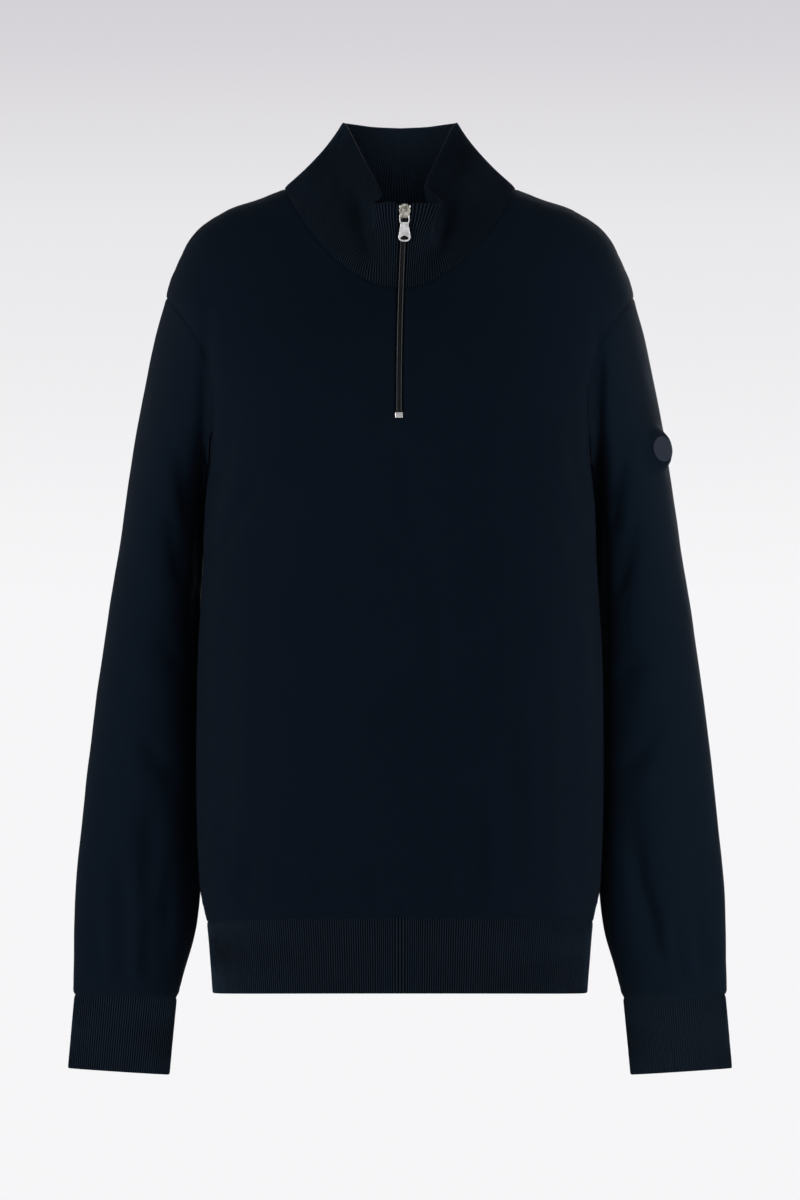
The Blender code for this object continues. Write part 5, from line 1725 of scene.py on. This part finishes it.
def stitch_finish():
    finish = Finish("grey sewing thread")
    twist = finish.noise(1600.0)
    colour = finish.mixed(twist, (0.046, 0.051, 0.056), (0.082, 0.090, 0.096))
    return finish.surface(Base_Color=colour, Roughness=0.55 + twist * 0.2)


paint([coil], nylon_finish())
paint([stitches], stitch_finish())


# %% Plated metal
def metal_finish(name, painted_highlight_tone, painted_shade_tone):
    finish = Finish(name)
    scratch = finish.noise((2600, 2600, 240), 3.0)
    cloud = finish.noise(260.0)
    # Painted highlight and painted shade: a cloud mixes a light and a dark tone over the metal,
    # standing in for its reflections.
    colour = finish.mixed((cloud * 3.2 - 1.15).limited(), painted_highlight_tone, painted_shade_tone)
    rough = 0.10 + scratch * 0.14 + cloud * 0.10
    return finish.surface(Base_Color=colour, Metallic=1.0, Roughness=rough,
                          Normal=finish.bump(scratch, 0.00003, 0.35))


paint(metal_parts, metal_finish("plated zip metal", (0.86, 0.86, 0.85), (0.52, 0.52, 0.52)))
# The slider's copy takes darker, warmer tones for the same painted highlight and painted shade.
paint(named("slider"),
      metal_finish("plated slider metal", (0.54, 0.52, 0.45), (0.13, 0.125, 0.10)))


# %% The patch
def patch_finish():
    finish = Finish("slate navy patch")
    place, across, upward = finish.cloth_place()
    radius = ((across * across + upward * upward) ** 0.5) / BADGE_RADIUS
    twill = ((across + upward) / 0.00055).wave()
    turn = upward.turn_from(across) / (2 * math.pi)
    bars = (turn * RIM_STITCHES).wave()
    on_rim = ((radius - (1 - RIM_WIDTH / BADGE_RADIUS)) * 40).limited()
    ring = 1 - ((radius - 0.76).size() * 30).limited()
    dots = ((turn * 64).wave() * 2.2 - 1.1).limited() * ring
    field = finish.mixed(twill, (0.0060, 0.0092, 0.0158), (0.0108, 0.0152, 0.0252))
    rim = finish.mixed(bars, (0.0066, 0.0098, 0.0168), (0.0150, 0.0204, 0.0318))
    colour = finish.mixed(dots * 0.6, finish.mixed(on_rim, field, rim), (0.048, 0.060, 0.084))
    height = twill * (1 - on_rim) + bars * on_rim + dots
    return finish.surface(Base_Color=colour, Roughness=0.66 - on_rim * 0.12,
                          Normal=finish.bump(height, 0.00012, 0.6),
                          Specular_IOR_Level=0.12)


paint([patch], patch_finish())

# %% [markdown]
# ## Floor, light and camera
#
# The sweater floats upright over a pale floor, as if worn, in the soft light of a studio: a
# large lamp high on one side, a weaker one on the other, and a pale surround that fills the
# shadows. The camera is level with the middle of the sweater and far away with a long lens,
# so that nothing near it swells.

# %% Floor and surround
FLOOR_Z = -1.30
FLOOR_RADIUS = 400.0
NEAR_FLOOR = 1.5         # the lit floor ends here, and the far tone is reached at FAR_FLOOR
FAR_FLOOR = 4.5
HORIZON = (0.922, 0.919, 0.935)
SURROUND_STOPS = ((0.0, HORIZON), (0.0045, (0.895, 0.895, 0.908)),
                  (0.0095, (0.852, 0.851, 0.866)), (0.0160, (0.812, 0.804, 0.822)),
                  (0.0205, (0.735, 0.722, 0.745)), (0.0250, (0.650, 0.630, 0.665)),
                  (0.0600, (0.44, 0.43, 0.45)), (1.0, (0.40, 0.39, 0.41)))


def floor_piece():
    turns = np.linspace(0, 2 * np.pi, 97)[:-1]
    rim = np.stack([FLOOR_RADIUS * np.cos(turns), FLOOR_RADIUS * np.sin(turns),
                    np.full(len(turns), FLOOR_Z)], axis=1)
    piece = in_scene("floor", mesh_of("floor", rim, [tuple(range(len(turns)))]))
    return piece


def floor_finish():
    """Pale and lit nearby; far away it glows in the surround's own tone, so no edge shows."""
    finish = Finish("pale floor")
    x, y = finish.first_two(finish.solid_place())
    reach = (x * x + y * y) ** 0.5
    far = ((reach - NEAR_FLOOR) / (FAR_FLOOR - NEAR_FLOOR)).limited()
    grain = finish.noise(30.0)
    return finish.surface(Base_Color=finish.mixed(far, (0.74, 0.735, 0.745), (0, 0, 0)),
                          Emission_Color=finish.mixed(far, (0.16, 0.16, 0.165), HORIZON),
                          Emission_Strength=1.0, Roughness=0.88 + grain * 0.08,
                          Specular_IOR_Level=0.0)


paint([floor_piece()], floor_finish())


def surround():
    """A pale backdrop all round, a shade greyer overhead than at the horizon."""
    finish = Finish("studio surround", bpy.data.worlds, "Background")
    way = finish.node("ShaderNodeTexCoord")
    height = finish.node("ShaderNodeSeparateXYZ", inputs={0: way}, output=2)
    tone = finish.node("ShaderNodeValToRGB", {"stops": SURROUND_STOPS}, {"Fac": height})
    return finish.surface(Color=tone)


bpy.context.scene.world = surround()
bpy.context.scene.view_settings.view_transform = "Standard"


# %% Lamps and camera
MIDDLE = (0.0, 0.0, -0.369)


def lamp(name, kind, place, target, power, **settings):
    """A lamp at a place, turned to a target."""
    light = bpy.data.lights.new(name, kind)
    light.energy = power
    for setting, value in settings.items():
        setattr(light, setting, value)
    holder = in_scene(name, light)
    holder.location = place
    way = Vector(target) - Vector(place)
    holder.rotation_euler = way.to_track_quat("-Z", "Y").to_euler()


for name, place, wide, tall, power in (("key", (-3.0, -2.6, 0.3), 1.6, 2.2, 92),
                                       ("fill", (2.8, -2.8, -0.9), 1.8, 2.0, 82),
                                       ("back", (0.6, 3.2, 0.9), 2.4, 2.0, 150),
                                       ("side left", (3.0, 2.4, 0.2), 1.4, 2.0, 18),
                                       ("side right", (-3.0, 2.4, 0.2), 1.4, 2.0, 18)):
    lamp(name, "AREA", place, MIDDLE, power, shape="RECTANGLE", size=wide, size_y=tall)

# A tall narrow lamp behind a grid keeps its light on one sleeve.
for side, hand, power in (("left", 1, 0.62), ("right", -1, 0.25)):
    lamp(f"sleeve strip {side}", "AREA", (hand * 1.3, -2.2, -0.45),
         (hand * 0.245, 0.02, -0.45), power, shape="RECTANGLE", size=0.12, size_y=1.0,
         spread=math.radians(10))
lamp("collar", "SPOT", (0.0, -1.7, 1.7), (0.0, 0.045, 0.072), 760,
     spot_size=math.radians(2.3), spot_blend=1.0, shadow_soft_size=0.05)

VIEW_HEIGHT = 1.080      # metres that the frame's long side covers at the sweater
LENS = 720.0             # millimetres, like the width of the film
FILM = 36.0
camera = in_scene("camera", bpy.data.cameras.new("camera"))
camera.data.lens = LENS
camera.data.sensor_width = FILM
camera.data.clip_end = 100.0
distance = VIEW_HEIGHT * LENS / FILM
camera.location = (0.0, -distance, MIDDLE[2])
camera.rotation_euler = (math.pi / 2, 0.0, 0.0)
bpy.context.scene.camera = camera
print(f"camera {distance:.2f} m away")
